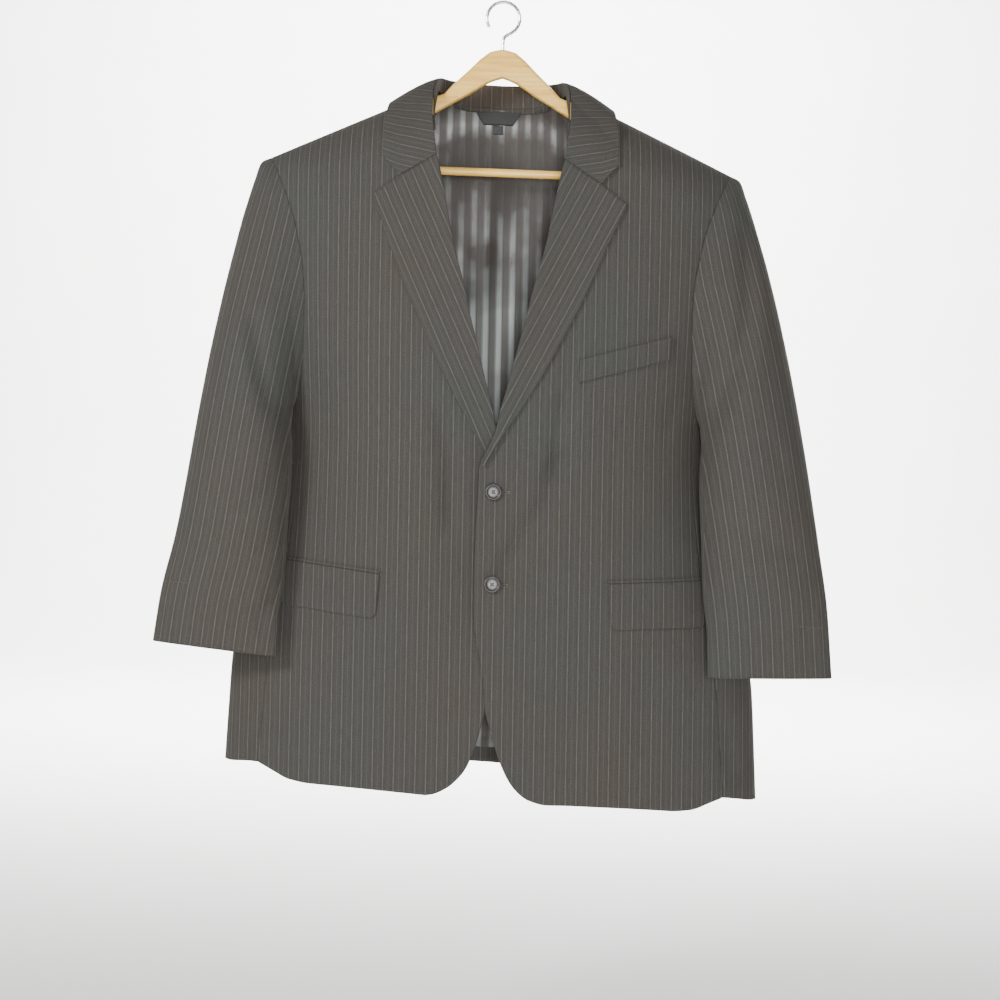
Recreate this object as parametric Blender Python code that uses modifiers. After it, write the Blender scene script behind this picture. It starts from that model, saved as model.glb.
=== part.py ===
"""Two-button suit jacket hanging on its wooden hanger.

The origin is the inside top of the hook, where the rail goes. X runs to the
viewer's right (the wearer's left), -Y is the front and +Z is up. Lengths in
this file are millimetres and become metres when a mesh is made.

The jacket is first drawn level and symmetric. `down` is how far a point lies
below a level 20 mm under the rail. `hang` then gives the whole jacket the
slight lean that it has on the hanger. One half is drawn, on the wearer's left,
and each piece of the other half is its mirror image, apart from the fronts,
which overlap left over right.
"""

import math

import bpy
import bmesh
import numpy as np
from mathutils import Matrix, Vector

MILLIMETRE = 0.001

# Driving dimensions
RAIL_TO_LEVEL = 20.0
WALL = 2.0
LAPEL_WALL = 2.2
LINING_WALL = 1.0
SEAM_GAP = 0.34
LAID_ON_GAP = 0.5
LAPEL_GAP = 0.9
WELT_GAP = 0.8
BUTTON_GAP = 0.9
LINING_GAP = 2.0
LINING_SEAM = 0.6
LABEL_GAP = 0.4
LABEL_WALL = 0.7
COLLAR_CLEAR = 1.2
SLEEVE_CLEAR = 2.6
SLEEVE_CLEAR_LOW = 3.0
SLEEVE_CLEAR_DOWN = 390.0
SLEEVE_CLEAR_START = 0.012

# The soft roll of the lapel and the collar where they turn over
ROLL_LIFT = 2.4
ROLL_REACH = 14.0

SHOULDER_HALF = 276.0
SHOULDER_DOWN = 176.5
SHOULDER_SLOPE = 0.457
SHOULDER_ROUND = 65.0
NECK_FLAT_HALF = 50.0
NECK_POINT_X = 80.5

BUTTON_RADIUS = 10.0
BUTTON_THICK = 3.4
BUTTON_DISH = 6.8
THREAD_HOLE_OUT = 1.9
THREAD_HOLE_RADIUS = 0.9
BUTTON_X = -2.0
BUTTON_DOWNS = {"upper": 569.0, "lower": 678.4}

FLAP_TALL = 54.0
FLAP_CORNER = 8.0
FLAP_DROP = {"left": 0.0, "right": 5.0}
FLAP_SLANT = 0.09
POCKET_X = (135.0, 249.0)
POCKET_DOWN = (669.4, 660.0)
JET_TALL = 4.0
JET_WALL = 1.5
WELT_TALL = 27.0
WELT_LONG = 109.0
WELT_X = 97.0
WELT_DOWN = 408.9
WELT_RISE = 33.7
WELT_SLANT = 0.05
BACK_WAIST_ROW = 444.0

WIRE_RADIUS = 2.0
HOOK_INNER_RADIUS = 18.0
HOOK_SWEEP = (-62, 212)
STEM_DEEP = 14.0
STEM_PROUD = 7.0
BAR_RADIUS = 5.0
BAR_DOWN = 184.3
BAR_HALF = 224.0
WOOD_THICK = 14.0
WOOD_EDGE_ROUND = 4.0
FIT_GAP = 0.2


def table(names, rows):
    """Rows of numbers as a dictionary of named columns."""
    return {name: np.array(column, float) for name, column in zip(names.split(), zip(*rows))}


# The lean of the hang: how many degrees the wearer's left side drops
LEAN = table("down degrees", [
    (100, 1.2),
    (430, 1.8),
    (670, 2.6),
    (910, 3.4),
])

# Level sections of the body. half_width is to the side fold, side_y is that
# fold's place, front and back are the depths ahead of it and behind it, and
# the powers say how flat the front and the back are.
BODY = table("down half_width front back side_y front_power back_power", [
    (60, 300, 46, 36, 2, 3.0, 4.0),
    (130, 300, 52, 39, 2, 3.0, 4.0),
    (180, 300, 58, 41, 2, 3.0, 4.0),
    (260, 290, 67, 42, 6, 3.0, 4.0),
    (345, 275, 78, 36, 14, 3.0, 4.0),
    (430, 262, 86, 25, 24, 2.8, 4.0),
    (480, 255, 86, 17, 30, 2.5, 4.0),
    (514, 252, 84, 15, 31, 2.4, 4.0),
    (570, 258, 80, 13, 31, 2.4, 4.0),
    (615, 267, 79, 13, 30, 2.4, 4.0),
    (680, 287, 76, 15, 28, 2.4, 4.0),
    (740, 304, 72, 18, 24, 2.4, 4.0),
    (782, 315, 68, 22, 20, 2.4, 4.0),
    (850, 319, 68, 24, 18, 2.4, 4.0),
    (935, 323, 70, 26, 16, 2.4, 4.0),
])

# The armhole seam, round from the shoulder seam by the front. bearing is the
# angle round the sleeve and turn the angle round the body, both in degrees.
ARMHOLE = table("bearing turn down", [
    (0, 66.9, 176.5),
    (15, 63.2, 195),
    (30, 59.8, 222),
    (50, 56.9, 262),
    (70, 56.0, 305),
    (90, 57.1, 345),
    (110, 59.8, 390),
    (130, 63.0, 430),
    (147, 67.0, 458),
    (165, 72.5, 474),
    (180, 79.0, 480),
    (195, 91.0, 474),
    (210, 103.0, 455),
    (225, 112.0, 424),
    (245, 120.0, 375),
    (270, 124.0, 315),
    (295, 123.0, 262),
    (318, 119.5, 220),
    (340, 116.0, 192),
    (360, 113.1, 176.5),
])

# The sleeve: each ring's upper, outer point, its lower, inner point, its
# middle in y and its half depth. along is 0 at the armhole and 1 at the cuff.
SLEEVE = table("along top_x top_down low_x low_down mid_y depth", [
    (0.00, 276, 176.5, 249, 479, 6, 44),
    (0.03, 286, 182.5, 250, 488, 5, 47),
    (0.07, 292.5, 204, 248.0, 495, 3, 49),
    (0.12, 301, 236, 247.0, 503, 0, 51),
    (0.20, 315, 286, 246.0, 514, -5, 52),
    (0.30, 330.5, 350, 244.5, 530, -12, 52),
    (0.42, 346.5, 425, 244, 556, -18, 50),
    (0.55, 362.5, 512, 246, 606, -25, 45),
    (0.70, 379.5, 612, 248.5, 672, -33, 36),
    (0.85, 393.5, 690, 253.5, 726, -42, 22),
    (1.00, 401.5, 764, 254.5, 773, -47, 12),
])

# How far each sleeve's outer edge bows out, as the two do not hang quite alike
SLEEVE_BOW = table("along left right", [
    (0.00, 0, 0),
    (0.05, 3, 3),
    (0.13, 6.5, 4.5),
    (0.21, 7, 2.4),
    (0.51, 7, -2.4),
    (0.65, 6.5, -4.5),
    (0.75, 5, -5),
    (0.90, 1.5, -1.2),
    (1.00, 0, 0),
])
SLEEVE_JOIN = 0.30
SLEEVE_DROP = {"left": -2.0, "right": 8.0}
BACK_SEAM_BEARING = 310
FRONT_SEAM_BEARING = 165

# The edge that starts at the gorge and rolls down to the first button, then
# each front edge with its cut-away corner
ROLL_LINE = table("x down", [
    (75.5, 174.5),
    (65.5, 219),
    (53.7, 280),
    (42.5, 321),
    (34.0, 357),
    (23.5, 399),
    (13.0, 440.5),
    (4.0, 474),
    (0.0, 493),
    (-9.0, 516),
    (-19.0, 538),
])
NECK_EDGE = table("x down", [
    (80.5, 87.3),
    (84.0, 112),
    (84.0, 140),
    (79.5, 168),
])
FRONT_EDGE = {
    "left": table("x down", [
        (-20.6, 579),
        (-22.7, 627),
        (-23.3, 680),
        (-23.0, 712),
        (-19.0, 750),
        (-14.0, 773),
        (-9.8, 798),
        (-7.2, 828),
        (-0.8, 852),
        (5.0, 871),
        (11.5, 889),
        (20.0, 906),
        (31.0, 920),
        (46.0, 929.7),
        (66.0, 933.5),
    ]),
    "right": table("x down", [
        (-20.6, 579),
        (-22.7, 627),
        (-22.0, 680),
        (-18.0, 730),
        (-8.0, 780),
        (0.0, 806),
        (7.5, 830),
        (15.5, 861),
        (24.5, 888),
        (31.0, 901),
        (39.0, 911),
        (49.0, 920.5),
        (59.0, 926.8),
        (67.0, 930.4),
    ]),
}
LAPEL_POINT = (150.0, 224.6)
NOTCH = (118.6, 200.9)
LAPEL_EDGE = {
    "left": table("x down", [
        (150.0, 224.6),
        (124.8, 280),
        (97.0, 345),
        (74.0, 390),
        (51.5, 433),
        (26.0, 473.6),
        (5.5, 506),
        (-15.0, 540),
    ]),
    "right": table("x down", [
        (150.0, 224.6),
        (129.0, 284),
        (109.5, 335),
        (87.6, 382),
        (68.6, 423),
        (49.6, 458.6),
        (30.7, 491.8),
        (14.4, 522.7),
        (4.0, 541),
    ]),
}

# Seams down the body, and the hem
SIDE_SEAM = table("down x", [
    (458, 237.5),
    (514, 236.5),
    (570, 240),
    (655, 249),
    (720, 258),
    (782, 268),
    (908, 278.5),
])
BACK_SEAM_TURN = table("down turn", [
    (424, 112),
    (520, 114),
    (700, 116),
    (908, 118),
])
FRONT_HEM = table("x down", [
    (76, 932.5),
    (125, 931.5),
    (172, 931),
    (214, 931),
    (239, 928.5),
    (262, 919.5),
    (278.5, 912.5),
])
SIDE_HEM = table("turn down", [
    (59.5, 912.5),
    (66, 913.5),
    (78, 915.5),
    (90, 915.5),
    (104, 912),
    (118, 908),
])
BACK_HEM = table("x down", [
    (0, 899.5),
    (120, 900.5),
    (220, 903.5),
    (285, 908),
])
BACK_NECKLINE = table("x down", [
    (0, 101),
    (32, 100),
    (57, 96),
    (72, 91),
    (80.5, 87.3),
])

# The back lining, down from the neck: how far each row is under the neckline at the
# centre, its half width and how much it follows the neckline
LINING_ROWS = table("down half neck", [
    (101, 68, 1.0),
    (112, 76, 0.8),
    (130, 92, 0.4),
    (160, 140, 0.1),
    (200, 203, 0),
    (300, 208, 0),
    (420, 212, 0),
    (520, 214, 0),
    (640, 224, 0),
    (760, 238, 0),
    (880, 250, 0),
])

# The collar: the roll line, a point that shapes the fold, and the leaf's
# outer edge, from the centre back to the gorge
COLLAR = table("along roll_x roll_y roll_down bend_x bend_y bend_down edge_x edge_y edge_down", [
    (0.00, 0, 38, 71.7, 0, 48, 72, 0, 46, 117),
    (0.20, 32, 36.5, 71.3, 37, 47, 71.5, 48, 45, 116.5),
    (0.40, 59, 25, 70.8, 72, 34, 71, 97, 38, 112.5),
    (0.52, 73, 9, 71.0, 92, 14, 74, 124, 19, 106.5),
    (0.62, 78.5, -8, 76, 99, -9, 80, 133, -6, 105.5),
    (0.75, 82, -25, 94, 101, -32, 99, 137, -35, 121),
    (0.87, 81.5, -43, 124, 99, -53, 128, 139, -51, 146),
    (1.00, 75.5, -62, 174.5, 95, -64, 176, 139, -61, 179),
])
NECK_SEAM = table("along x y down", [
    (0.00, 0, 30, 101.4),
    (0.20, 31, 28.5, 100.4),
    (0.40, 56, 21.5, 96.3),
    (0.52, 71, 9, 91),
    (0.62, 75.5, -6, 89.5),
    (0.75, 77.5, -18, 101),
    (0.87, 79.5, -38, 129),
    (1.00, 75.0, -55, 170),
])
COLLAR_POINT = (139.0, 179.0)
NOTCH_SHARE = 0.63
COLLAR_END = 0.92

# Soft troughs pressed in the cloth: depth, half width and the route in front view
BODY_FOLDS = {
    "left": [
        (4.0, 11.0, [(80, 455), (73, 504), (74, 539)]),
        (6.5, 13.0, [(76, 528), (60, 580), (36, 614), (13, 661)]),
        (3.0, 11.0, [(278, 828), (291, 883)]),
    ],
    "right": [
        (4.5, 12.0, [(66, 490), (58, 530), (53, 612)]),
        (4.5, 11.0, [(295, 815), (296.6, 864), (292, 925)]),
        (3.0, 10.0, [(285, 835), (250, 866)]),
    ],
}
SLEEVE_FOLDS = {
    "left": [
        (6.5, 12.0, [(294, 250), (296, 346), (287, 394), (273, 419), (265, 448)]),
        (3.0, 11.0, [(262, 560), (300, 600), (352, 618)]),
    ],
    "right": [
        (5.0, 12.0, [(288, 380), (279, 440), (268, 480)]),
        (3.0, 12.0, [(262, 580), (300, 614), (346, 640)]),
        (3.0, 9.0, [(258, 712), (272, 742)]),
    ],
}
UNDER_FRONT = table("down depth", [
    (400, 0.0),
    (460, 7.5),
    (500, 9.5),
    (685, 9.5),
    (750, 3.8),
    (840, 3.4),
    (900, 1.0),
])
UNDER_REACH = 90.0

# The hanger's arms in front view
ARMS = table("x top low", [
    (0, 36, 70.2),
    (14, 39, 75),
    (40, 62, 91.5),
    (60, 81, 103),
    (70, 92, 109),
    (80, 95.5, 115),
    (110, 105.4, 132),
    (145, 121.2, 152),
    (180, 136.2, 173),
    (214, 151.8, 192),
    (226, 158, 192.5),
    (232, 165, 187),
])

CLOTH = (0.094, 0.090, 0.080)
COLOURS = {
    "cloth": (CLOTH, 0.85, 0.0),
    "lining": ((0.045, 0.038, 0.033), 0.4, 0.0),
    "label": ((0.020, 0.020, 0.022), 0.6, 0.0),
    "tag": ((0.050, 0.050, 0.050), 0.7, 0.0),
    "button": ((0.035, 0.029, 0.025), 0.25, 0.0),
    "wood": ((0.80, 0.62, 0.36), 0.45, 0.0),
    "steel": ((0.62, 0.62, 0.62), 0.25, 1.0),
}


def through(knots, values, at):
    """A smooth curve through table rows, with no overshoot."""
    knots, values = np.asarray(knots, float), np.asarray(values, float)
    at = np.clip(np.asarray(at, float), knots[0], knots[-1])
    step = np.diff(knots)
    slope = np.diff(values) / step
    tangent = np.zeros(len(values))
    product = slope[1:] * slope[:-1]
    rising = product > 0
    tangent[1:-1][rising] = 2 * product[rising] / (slope[1:] + slope[:-1])[rising]
    tangent[0], tangent[-1] = slope[0], slope[-1]
    row = np.clip(np.searchsorted(knots, at, side="right") - 1, 0, len(step) - 1)
    t = (at - knots[row]) / step[row]
    return ((1 + 2 * t) * (1 - t) ** 2 * values[row]
            + t * (1 - t) ** 2 * step[row] * tangent[row]
            + t * t * (3 - 2 * t) * values[row + 1]
            + t * t * (t - 1) * step[row] * tangent[row + 1])


def read(rows, column, at, key="down"):
    return through(rows[key], rows[column], at)


def smooth_step(value):
    value = np.clip(value, 0.0, 1.0)
    return value * value * (3 - 2 * value)


def trough(folds, x, down):
    """How deep the listed folds press the cloth in at each place in front view."""
    total = np.zeros(np.broadcast(x, down).shape)
    for depth, half_width, route in folds:
        nearest = np.full(total.shape, 1e9)
        for (x0, down0), (x1, down1) in zip(route, route[1:]):
            dx, dd = x1 - x0, down1 - down0
            share = np.clip(((x - x0) * dx + (down - down0) * dd) / (dx * dx + dd * dd), 0, 1)
            apart = np.hypot(x - x0 - share * dx, down - down0 - share * dd)
            nearest = np.minimum(nearest, apart)
        total = total + depth * np.exp(-(nearest / half_width) ** 2)
    return total


def crest(x):
    """How far down the shoulder line is."""
    reach = np.maximum(np.abs(x), NECK_FLAT_HALF)
    return SHOULDER_DOWN + SHOULDER_SLOPE * (reach - SHOULDER_HALF)


def body(side, turn, down):
    """A point of the body's outer face. turn is 0 in front, 90 degrees at the
    side fold and 180 behind. Above the shoulder line it goes over to the other
    face, so the surface runs on across the shoulder seam."""
    turn, down = np.broadcast_arrays(np.asarray(turn, float), np.asarray(down, float))
    width = read(BODY, "half_width", down)
    x = width * np.sin(turn)
    top = crest(x)
    behind = np.cos(turn) < 0
    over = down < top
    behind = behind ^ over
    down = np.where(over, 2 * top - down, down)
    rise = np.clip((down - top) / SHOULDER_ROUND, 0, 1)
    full = np.sqrt(1 - (1 - rise) ** 2)
    sine = np.clip(np.abs(np.sin(turn)), 0, 1)
    ahead = read(BODY, "front", down) * np.sqrt(1 - sine ** read(BODY, "front_power", down))
    back = read(BODY, "back", down) * np.sqrt(1 - sine ** read(BODY, "back_power", down))
    press = trough(BODY_FOLDS[side], x, down)
    if side == "right":
        press = press + read(UNDER_FRONT, "depth", down) * (1 - smooth_step((x - 5) / UNDER_REACH))
    y = read(BODY, "side_y", down) + full * np.where(behind, back, press * (down > 200) - ahead)
    return np.stack([x, y, -down], axis=-1)


def facing(surface, a, b, step_a, step_b):
    """Unit normals of a surface of two values, facing out."""
    along_a = surface(a + step_a, b) - surface(a - step_a, b)
    along_b = surface(a, b + step_b) - surface(a, b - step_b)
    normal = np.cross(along_b, along_a)
    return normal / np.linalg.norm(normal, axis=-1, keepdims=True)


def body_turn(x, down, behind=False):
    turn = np.arcsin(np.clip(x / read(BODY, "half_width", down), -1, 1))
    return np.pi - turn if behind else turn


def body_out(side, turn, down, out):
    """Points of the body's face moved out by a distance."""
    surface = lambda a, b: body(side, a, b)
    normal = facing(surface, turn, down, 0.004, 1.0)
    return surface(turn, down) + normal * np.asarray(out)[..., None]


def side_of_body(y, down):
    """How far out the body reaches at a given y."""
    side_y = read(BODY, "side_y", down)
    ahead = np.clip((side_y - y) / read(BODY, "front", down), 0, 1)
    behind = np.clip((y - side_y) / read(BODY, "back", down), 0, 1)
    front = (1 - ahead ** 2) ** (1 / read(BODY, "front_power", down))
    back = (1 - behind ** 2) ** (1 / read(BODY, "back_power", down))
    return read(BODY, "half_width", down) * np.minimum(front, back)


def armhole(side, bearing):
    turn = np.radians(through(ARMHOLE["bearing"], ARMHOLE["turn"], bearing))
    down = through(ARMHOLE["bearing"], ARMHOLE["down"], bearing)
    return turn, down


def sleeve(side, along, bearing):
    """A point of the sleeve's outer face. bearing is 0 outside, 90 degrees in
    front and 180 at the underarm. The first rings keep the armhole's form."""
    along, bearing = np.broadcast_arrays(np.asarray(along, float), np.asarray(bearing, float))
    angle = np.radians(bearing)
    at = np.clip(along, 0, 1)

    def ring(share):
        value = {name: read(SLEEVE, name, share, "along") for name in SLEEVE if name != "along"}
        across, rise = np.cos(angle), np.sin(angle)
        x = (value["top_x"] + value["low_x"]) / 2 + across * (value["top_x"] - value["low_x"]) / 2
        down = ((value["top_down"] + value["low_down"]) / 2
                + across * (value["top_down"] - value["low_down"]) / 2)
        return np.stack([x, value["mid_y"] - rise * value["depth"], -down], axis=-1)

    seam = body(side, *armhole(side, np.mod(bearing, 360)))
    keep = (1 - np.clip(at / SLEEVE_JOIN, 0, 1)) ** 2
    point = ring(at) + keep[..., None] * (seam - ring(np.zeros_like(at)))
    point[..., 0] += read(SLEEVE_BOW, side, at, "along") * (1 + np.cos(angle)) / 2
    point[..., 2] -= SLEEVE_DROP[side] * smooth_step(at)
    down = -point[..., 2]
    least = side_of_body(point[..., 1], down) + SLEEVE_CLEAR + SLEEVE_CLEAR_LOW * smooth_step(at / 0.06)
    push = np.maximum(least - point[..., 0], 0) * smooth_step(at / SLEEVE_CLEAR_START)
    point[..., 0] += push * smooth_step((down - SLEEVE_CLEAR_DOWN) / 40)
    front = smooth_step(np.sin(angle) * 2 + 0.2)
    point[..., 1] += trough(SLEEVE_FOLDS[side], point[..., 0], down) * front * smooth_step(at / 0.1)
    return point


def sleeve_out(side, along, bearing, out):
    surface = lambda a, b: sleeve(side, a, b)
    normal = facing(surface, along, bearing, 0.004, 1.0)
    return surface(along, bearing) + normal * np.asarray(out)[..., None]


def route(*tables):
    """A smooth line through (x, down) rows, and its whole length."""
    x = np.concatenate([rows["x"] for rows in tables])
    down = np.concatenate([rows["down"] for rows in tables])
    length = np.concatenate([[0], np.cumsum(np.hypot(np.diff(x), np.diff(down)))])
    return (lambda at: np.stack([through(length, x, at), through(length, down, at)], -1)), length[-1]


def patch(top, bottom, left, right):
    """A grid filled in between its four edges, each a list of points."""
    u = np.linspace(0, 1, len(top))[None, :, None]
    v = np.linspace(0, 1, len(left))[:, None, None]
    across = (1 - v) * top[None] + v * bottom[None]
    along = (1 - u) * left[:, None] + u * right[:, None]
    corners = ((1 - u) * (1 - v) * top[0] + u * (1 - v) * top[-1]
               + (1 - u) * v * bottom[0] + u * v * bottom[-1])
    return across + along - corners


def hang(points):
    """From the level drawing to the place on the hanger, in metres."""
    points = np.array(points, float)
    down = -points[..., 2]
    points[..., 2] -= RAIL_TO_LEVEL + points[..., 0] * np.tan(np.radians(read(LEAN, "degrees", down)))
    return points * MILLIMETRE


def trimmed(grid):
    """The grid with its edges drawn in by half a seam gap."""
    grid = grid.copy()
    for edge, inner in ((0, 1), (-1, -2)):
        for view in (grid, grid.swapaxes(0, 1)):
            step = view[inner] - view[edge]
            view[edge] += step / np.linalg.norm(step, axis=-1, keepdims=True) * SEAM_GAP / 2
    return grid


def material(name):
    colour, roughness, metallic = COLOURS[name]
    finish = bpy.data.materials.get(name) or bpy.data.materials.new(name)
    finish.use_nodes = True
    shader = finish.node_tree.nodes["Principled BSDF"]
    shader.inputs["Base Color"].default_value = (*colour, 1)
    shader.inputs["Roughness"].default_value = roughness
    shader.inputs["Metallic"].default_value = metallic
    return finish


def add_object(name, mesh, finish):
    mesh.materials.clear()
    mesh.materials.append(material(finish))
    item = bpy.data.objects.new(name, mesh)
    PARTS.objects.link(item)
    return item


def cloth(name, outer, inner, finish="cloth", mirrored=False):
    """One closed wall between two grids of points. Solidify isn't used because
    neighbouring pieces must share one wall direction at their seam."""
    outer, inner = trimmed(outer), trimmed(inner)
    if mirrored:
        outer, inner = outer * (-1, 1, 1), inner * (-1, 1, 1)
    rows, columns = outer.shape[:2]
    points = hang(np.concatenate([outer.reshape(-1, 3), inner.reshape(-1, 3)]))
    index = np.arange(rows * columns).reshape(rows, columns)
    rim = np.concatenate([index[0, :-1], index[:-1, -1], index[-1, :0:-1], index[:0:-1, 0]])
    back = rows * columns
    faces = []
    for row in range(rows - 1):
        for column in range(columns - 1):
            corner = [index[row, column], index[row, column + 1],
                      index[row + 1, column + 1], index[row + 1, column]]
            faces.append(corner)
            faces.append([value + back for value in reversed(corner)])
    for start, end in zip(rim, np.roll(rim, -1)):
        faces.append([end, start, start + back, end + back])
    mesh = bpy.data.meshes.new(name)
    mesh.from_pydata([tuple(point) for point in points], [], [list(map(int, face)) for face in faces])
    shape = bmesh.new()
    shape.from_mesh(mesh)
    bmesh.ops.recalc_face_normals(shape, faces=shape.faces)
    shape.to_mesh(mesh)
    shape.free()
    mesh.shade_smooth()
    mesh.set_sharp_from_angle(angle=math.radians(35))
    return add_object(name, mesh, finish)


FRONT_ARM = np.array([0, 3, 9, 18, 30, 45, 62, 80, 98, 116, 132, 147])
UNDER_ARM = np.array([147, 159, 170, 181, 193, 208, 225])
BACK_ARM = np.array([360, 356, 348, 335, 318, 300, 280, 260, 242, 225])
SIDE_ROWS = np.array([0, .11, .22, .33, .44, .55, .65, .74, .82, .885, .935, .972, 1])
FRONT_COLUMNS = 17
BACK_COLUMNS = 10


def side_seam(share):
    """(turn, down) rows of the seam between a front and its side body."""
    down = SIDE_SEAM["down"][0] + share * (FRONT_HEM["down"][-1] - SIDE_SEAM["down"][0])
    return np.stack([body_turn(read(SIDE_SEAM, "x", down), down), down], -1)


def back_seam(share):
    """(turn, down) rows of the seam between a side body and its back."""
    down = BACK_SEAM_TURN["down"][0] + share * (SIDE_HEM["down"][-1] - BACK_SEAM_TURN["down"][0])
    return np.stack([np.radians(read(BACK_SEAM_TURN, "turn", down)), down], -1)


def body_panel(name, side, grid):
    """A panel of the body from its grid of (turn, down)."""
    turn, down = grid[..., 0], grid[..., 1]
    outer = body_out(side, turn, down, 0 * down)
    inner = body_out(side, turn, down, 0 * down - WALL)
    return cloth(name, outer, inner, mirrored=side == "right")


def make_front(side):
    seam_top = np.linspace(NECK_POINT_X, SHOULDER_HALF, FRONT_COLUMNS)
    top = np.stack([body_turn(seam_top, crest(seam_top)), crest(seam_top)], -1)
    arm = np.stack(armhole(side, FRONT_ARM), -1)
    right = np.concatenate([arm[:-1], side_seam(SIDE_ROWS)])
    edge, length = route(NECK_EDGE, ROLL_LINE, FRONT_EDGE[side], {
        "x": FRONT_HEM["x"][:1],
        "down": FRONT_HEM["down"][:1],
    })
    fine = np.linspace(0, length, 2000)
    level = edge(fine)[:, 1]
    arm_share = (arm[:-1, 1] - arm[0, 1]) / (arm[-1, 1] - arm[0, 1])
    waist_down = SIDE_SEAM["down"][0]
    upper = np.interp(top[0, 1] + arm_share * (waist_down - top[0, 1]), level, fine)
    waist = np.interp(waist_down, level, fine)
    lower = waist + SIDE_ROWS * (length - waist)
    points = edge(np.concatenate([upper, lower]))
    left = np.stack([body_turn(points[:, 0], points[:, 1]), points[:, 1]], -1)
    hem_x = np.linspace(FRONT_HEM["x"][0], FRONT_HEM["x"][-1], FRONT_COLUMNS)
    hem_down = read(FRONT_HEM, "down", hem_x, "x")
    bottom = np.stack([body_turn(hem_x, hem_down), hem_down], -1)
    top[0], bottom[0], bottom[-1] = left[0], left[-1], right[-1]
    return body_panel(f"front_{side}", side, patch(top, bottom, left, right))


def make_side(side):
    top = np.stack(armhole(side, UNDER_ARM), -1)
    left, right = side_seam(SIDE_ROWS), back_seam(SIDE_ROWS)
    turn = np.linspace(SIDE_HEM["turn"][0], SIDE_HEM["turn"][-1], len(UNDER_ARM))
    bottom = np.stack([np.radians(turn), read(SIDE_HEM, "down", turn, "turn")], -1)
    left[0], right[0] = top[0], top[-1]
    bottom[0], bottom[-1] = left[-1], right[-1]
    return body_panel(f"side_{side}", side, patch(top, bottom, left, right))


def make_back(side):
    neck_x = np.array([0, 22, 43, 62, NECK_POINT_X])
    seam_x = np.linspace(NECK_POINT_X, SHOULDER_HALF, BACK_COLUMNS - 4)[1:]
    x = np.concatenate([neck_x, seam_x])
    down = np.concatenate([read(BACK_NECKLINE, "down", neck_x, "x"), crest(seam_x)])
    top = np.stack([body_turn(x, down, behind=True), down], -1)[::-1]
    left = np.concatenate([np.stack(armhole(side, BACK_ARM), -1)[:-1], back_seam(SIDE_ROWS)])
    centre = np.interp(np.arange(len(left)), [0, len(BACK_ARM) - 1, len(left) - 1],
                       [top[-1, 1], BACK_WAIST_ROW, BACK_HEM["down"][0]])
    right = np.stack([np.full(len(left), np.pi), centre], -1)
    edge_x = read(BODY, "half_width", left[-1, 1]) * np.sin(left[-1, 0])
    hem_x = np.linspace(edge_x, 0, len(top))
    hem_down = read(BACK_HEM, "down", hem_x, "x")
    bottom = np.stack([body_turn(hem_x, hem_down, behind=True), hem_down], -1)
    left[0], bottom[0], bottom[-1] = top[0], left[-1], right[-1]
    return body_panel(f"back_{side}", side, patch(top, bottom, left, right))


def make_sleeves(side):
    rings = np.array([0, .02, .045, .08, .13, .2, .3, .41, .53, .65, .77, .89, 1])
    under_front = UNDER_ARM[UNDER_ARM < FRONT_SEAM_BEARING]
    seam_columns = np.array([FRONT_SEAM_BEARING])
    outer_back = BACK_ARM[BACK_ARM > BACK_SEAM_BEARING][::-1][:-1]
    top_bearings = np.concatenate([[BACK_SEAM_BEARING], outer_back, FRONT_ARM[:-1] + 360,
                                   under_front + 360, seam_columns + 360])
    under_bearings = np.concatenate([seam_columns, UNDER_ARM[UNDER_ARM > FRONT_SEAM_BEARING],
                                     BACK_ARM[(BACK_ARM < BACK_SEAM_BEARING)
                                              & (BACK_ARM > UNDER_ARM[-1])][::-1],
                                     [BACK_SEAM_BEARING]])
    for name, bearings in (("topsleeve", top_bearings), ("undersleeve", under_bearings)):
        along, bearing = np.meshgrid(rings, bearings.astype(float), indexing="ij")
        outer = sleeve_out(side, along, bearing, 0 * along)
        inner = sleeve_out(side, along, bearing, 0 * along - WALL)
        cloth(f"{name}_{side}", outer, inner, mirrored=side == "right")


GORGE_STEPS = 5
NOTCH_STEPS = 3


def gorge_line(end):
    """(x, down) points along the gorge seam to the notch, then to a tip."""
    start = np.array([ROLL_LINE["x"][0], ROLL_LINE["down"][0]])
    notch, tip = np.array(NOTCH), np.array(end)
    seam = start + np.linspace(0, 1, GORGE_STEPS + 1)[:, None] * (notch - start)
    edge = notch + np.linspace(0, 1, NOTCH_STEPS + 1)[1:, None] * (tip - notch)
    return np.concatenate([seam, edge])


def make_lapel(side):
    top = gorge_line(LAPEL_POINT)
    rows = 15
    roll, roll_length = route(ROLL_LINE)
    edge, edge_length = route(LAPEL_EDGE[side])
    left = roll(np.linspace(0, roll_length, rows))
    right = edge(np.linspace(0, edge_length, rows))
    bottom = left[-1] + np.linspace(0, 1, len(top))[:, None] * (right[-1] - left[-1])
    grid = patch(top, bottom, left, right)
    x, down = grid[..., 0], grid[..., 1]
    from_roll = x - x[:, :1]
    lift = LAPEL_GAP + LAPEL_WALL + ROLL_LIFT * np.exp(-(from_roll / ROLL_REACH) ** 2)
    turn = body_turn(x, down)
    outer = body_out(side, turn, down, lift)
    inner = body_out(side, turn, down, lift - LAPEL_WALL)
    return cloth(f"lapel_{side}", outer, inner, mirrored=side == "right")


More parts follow.
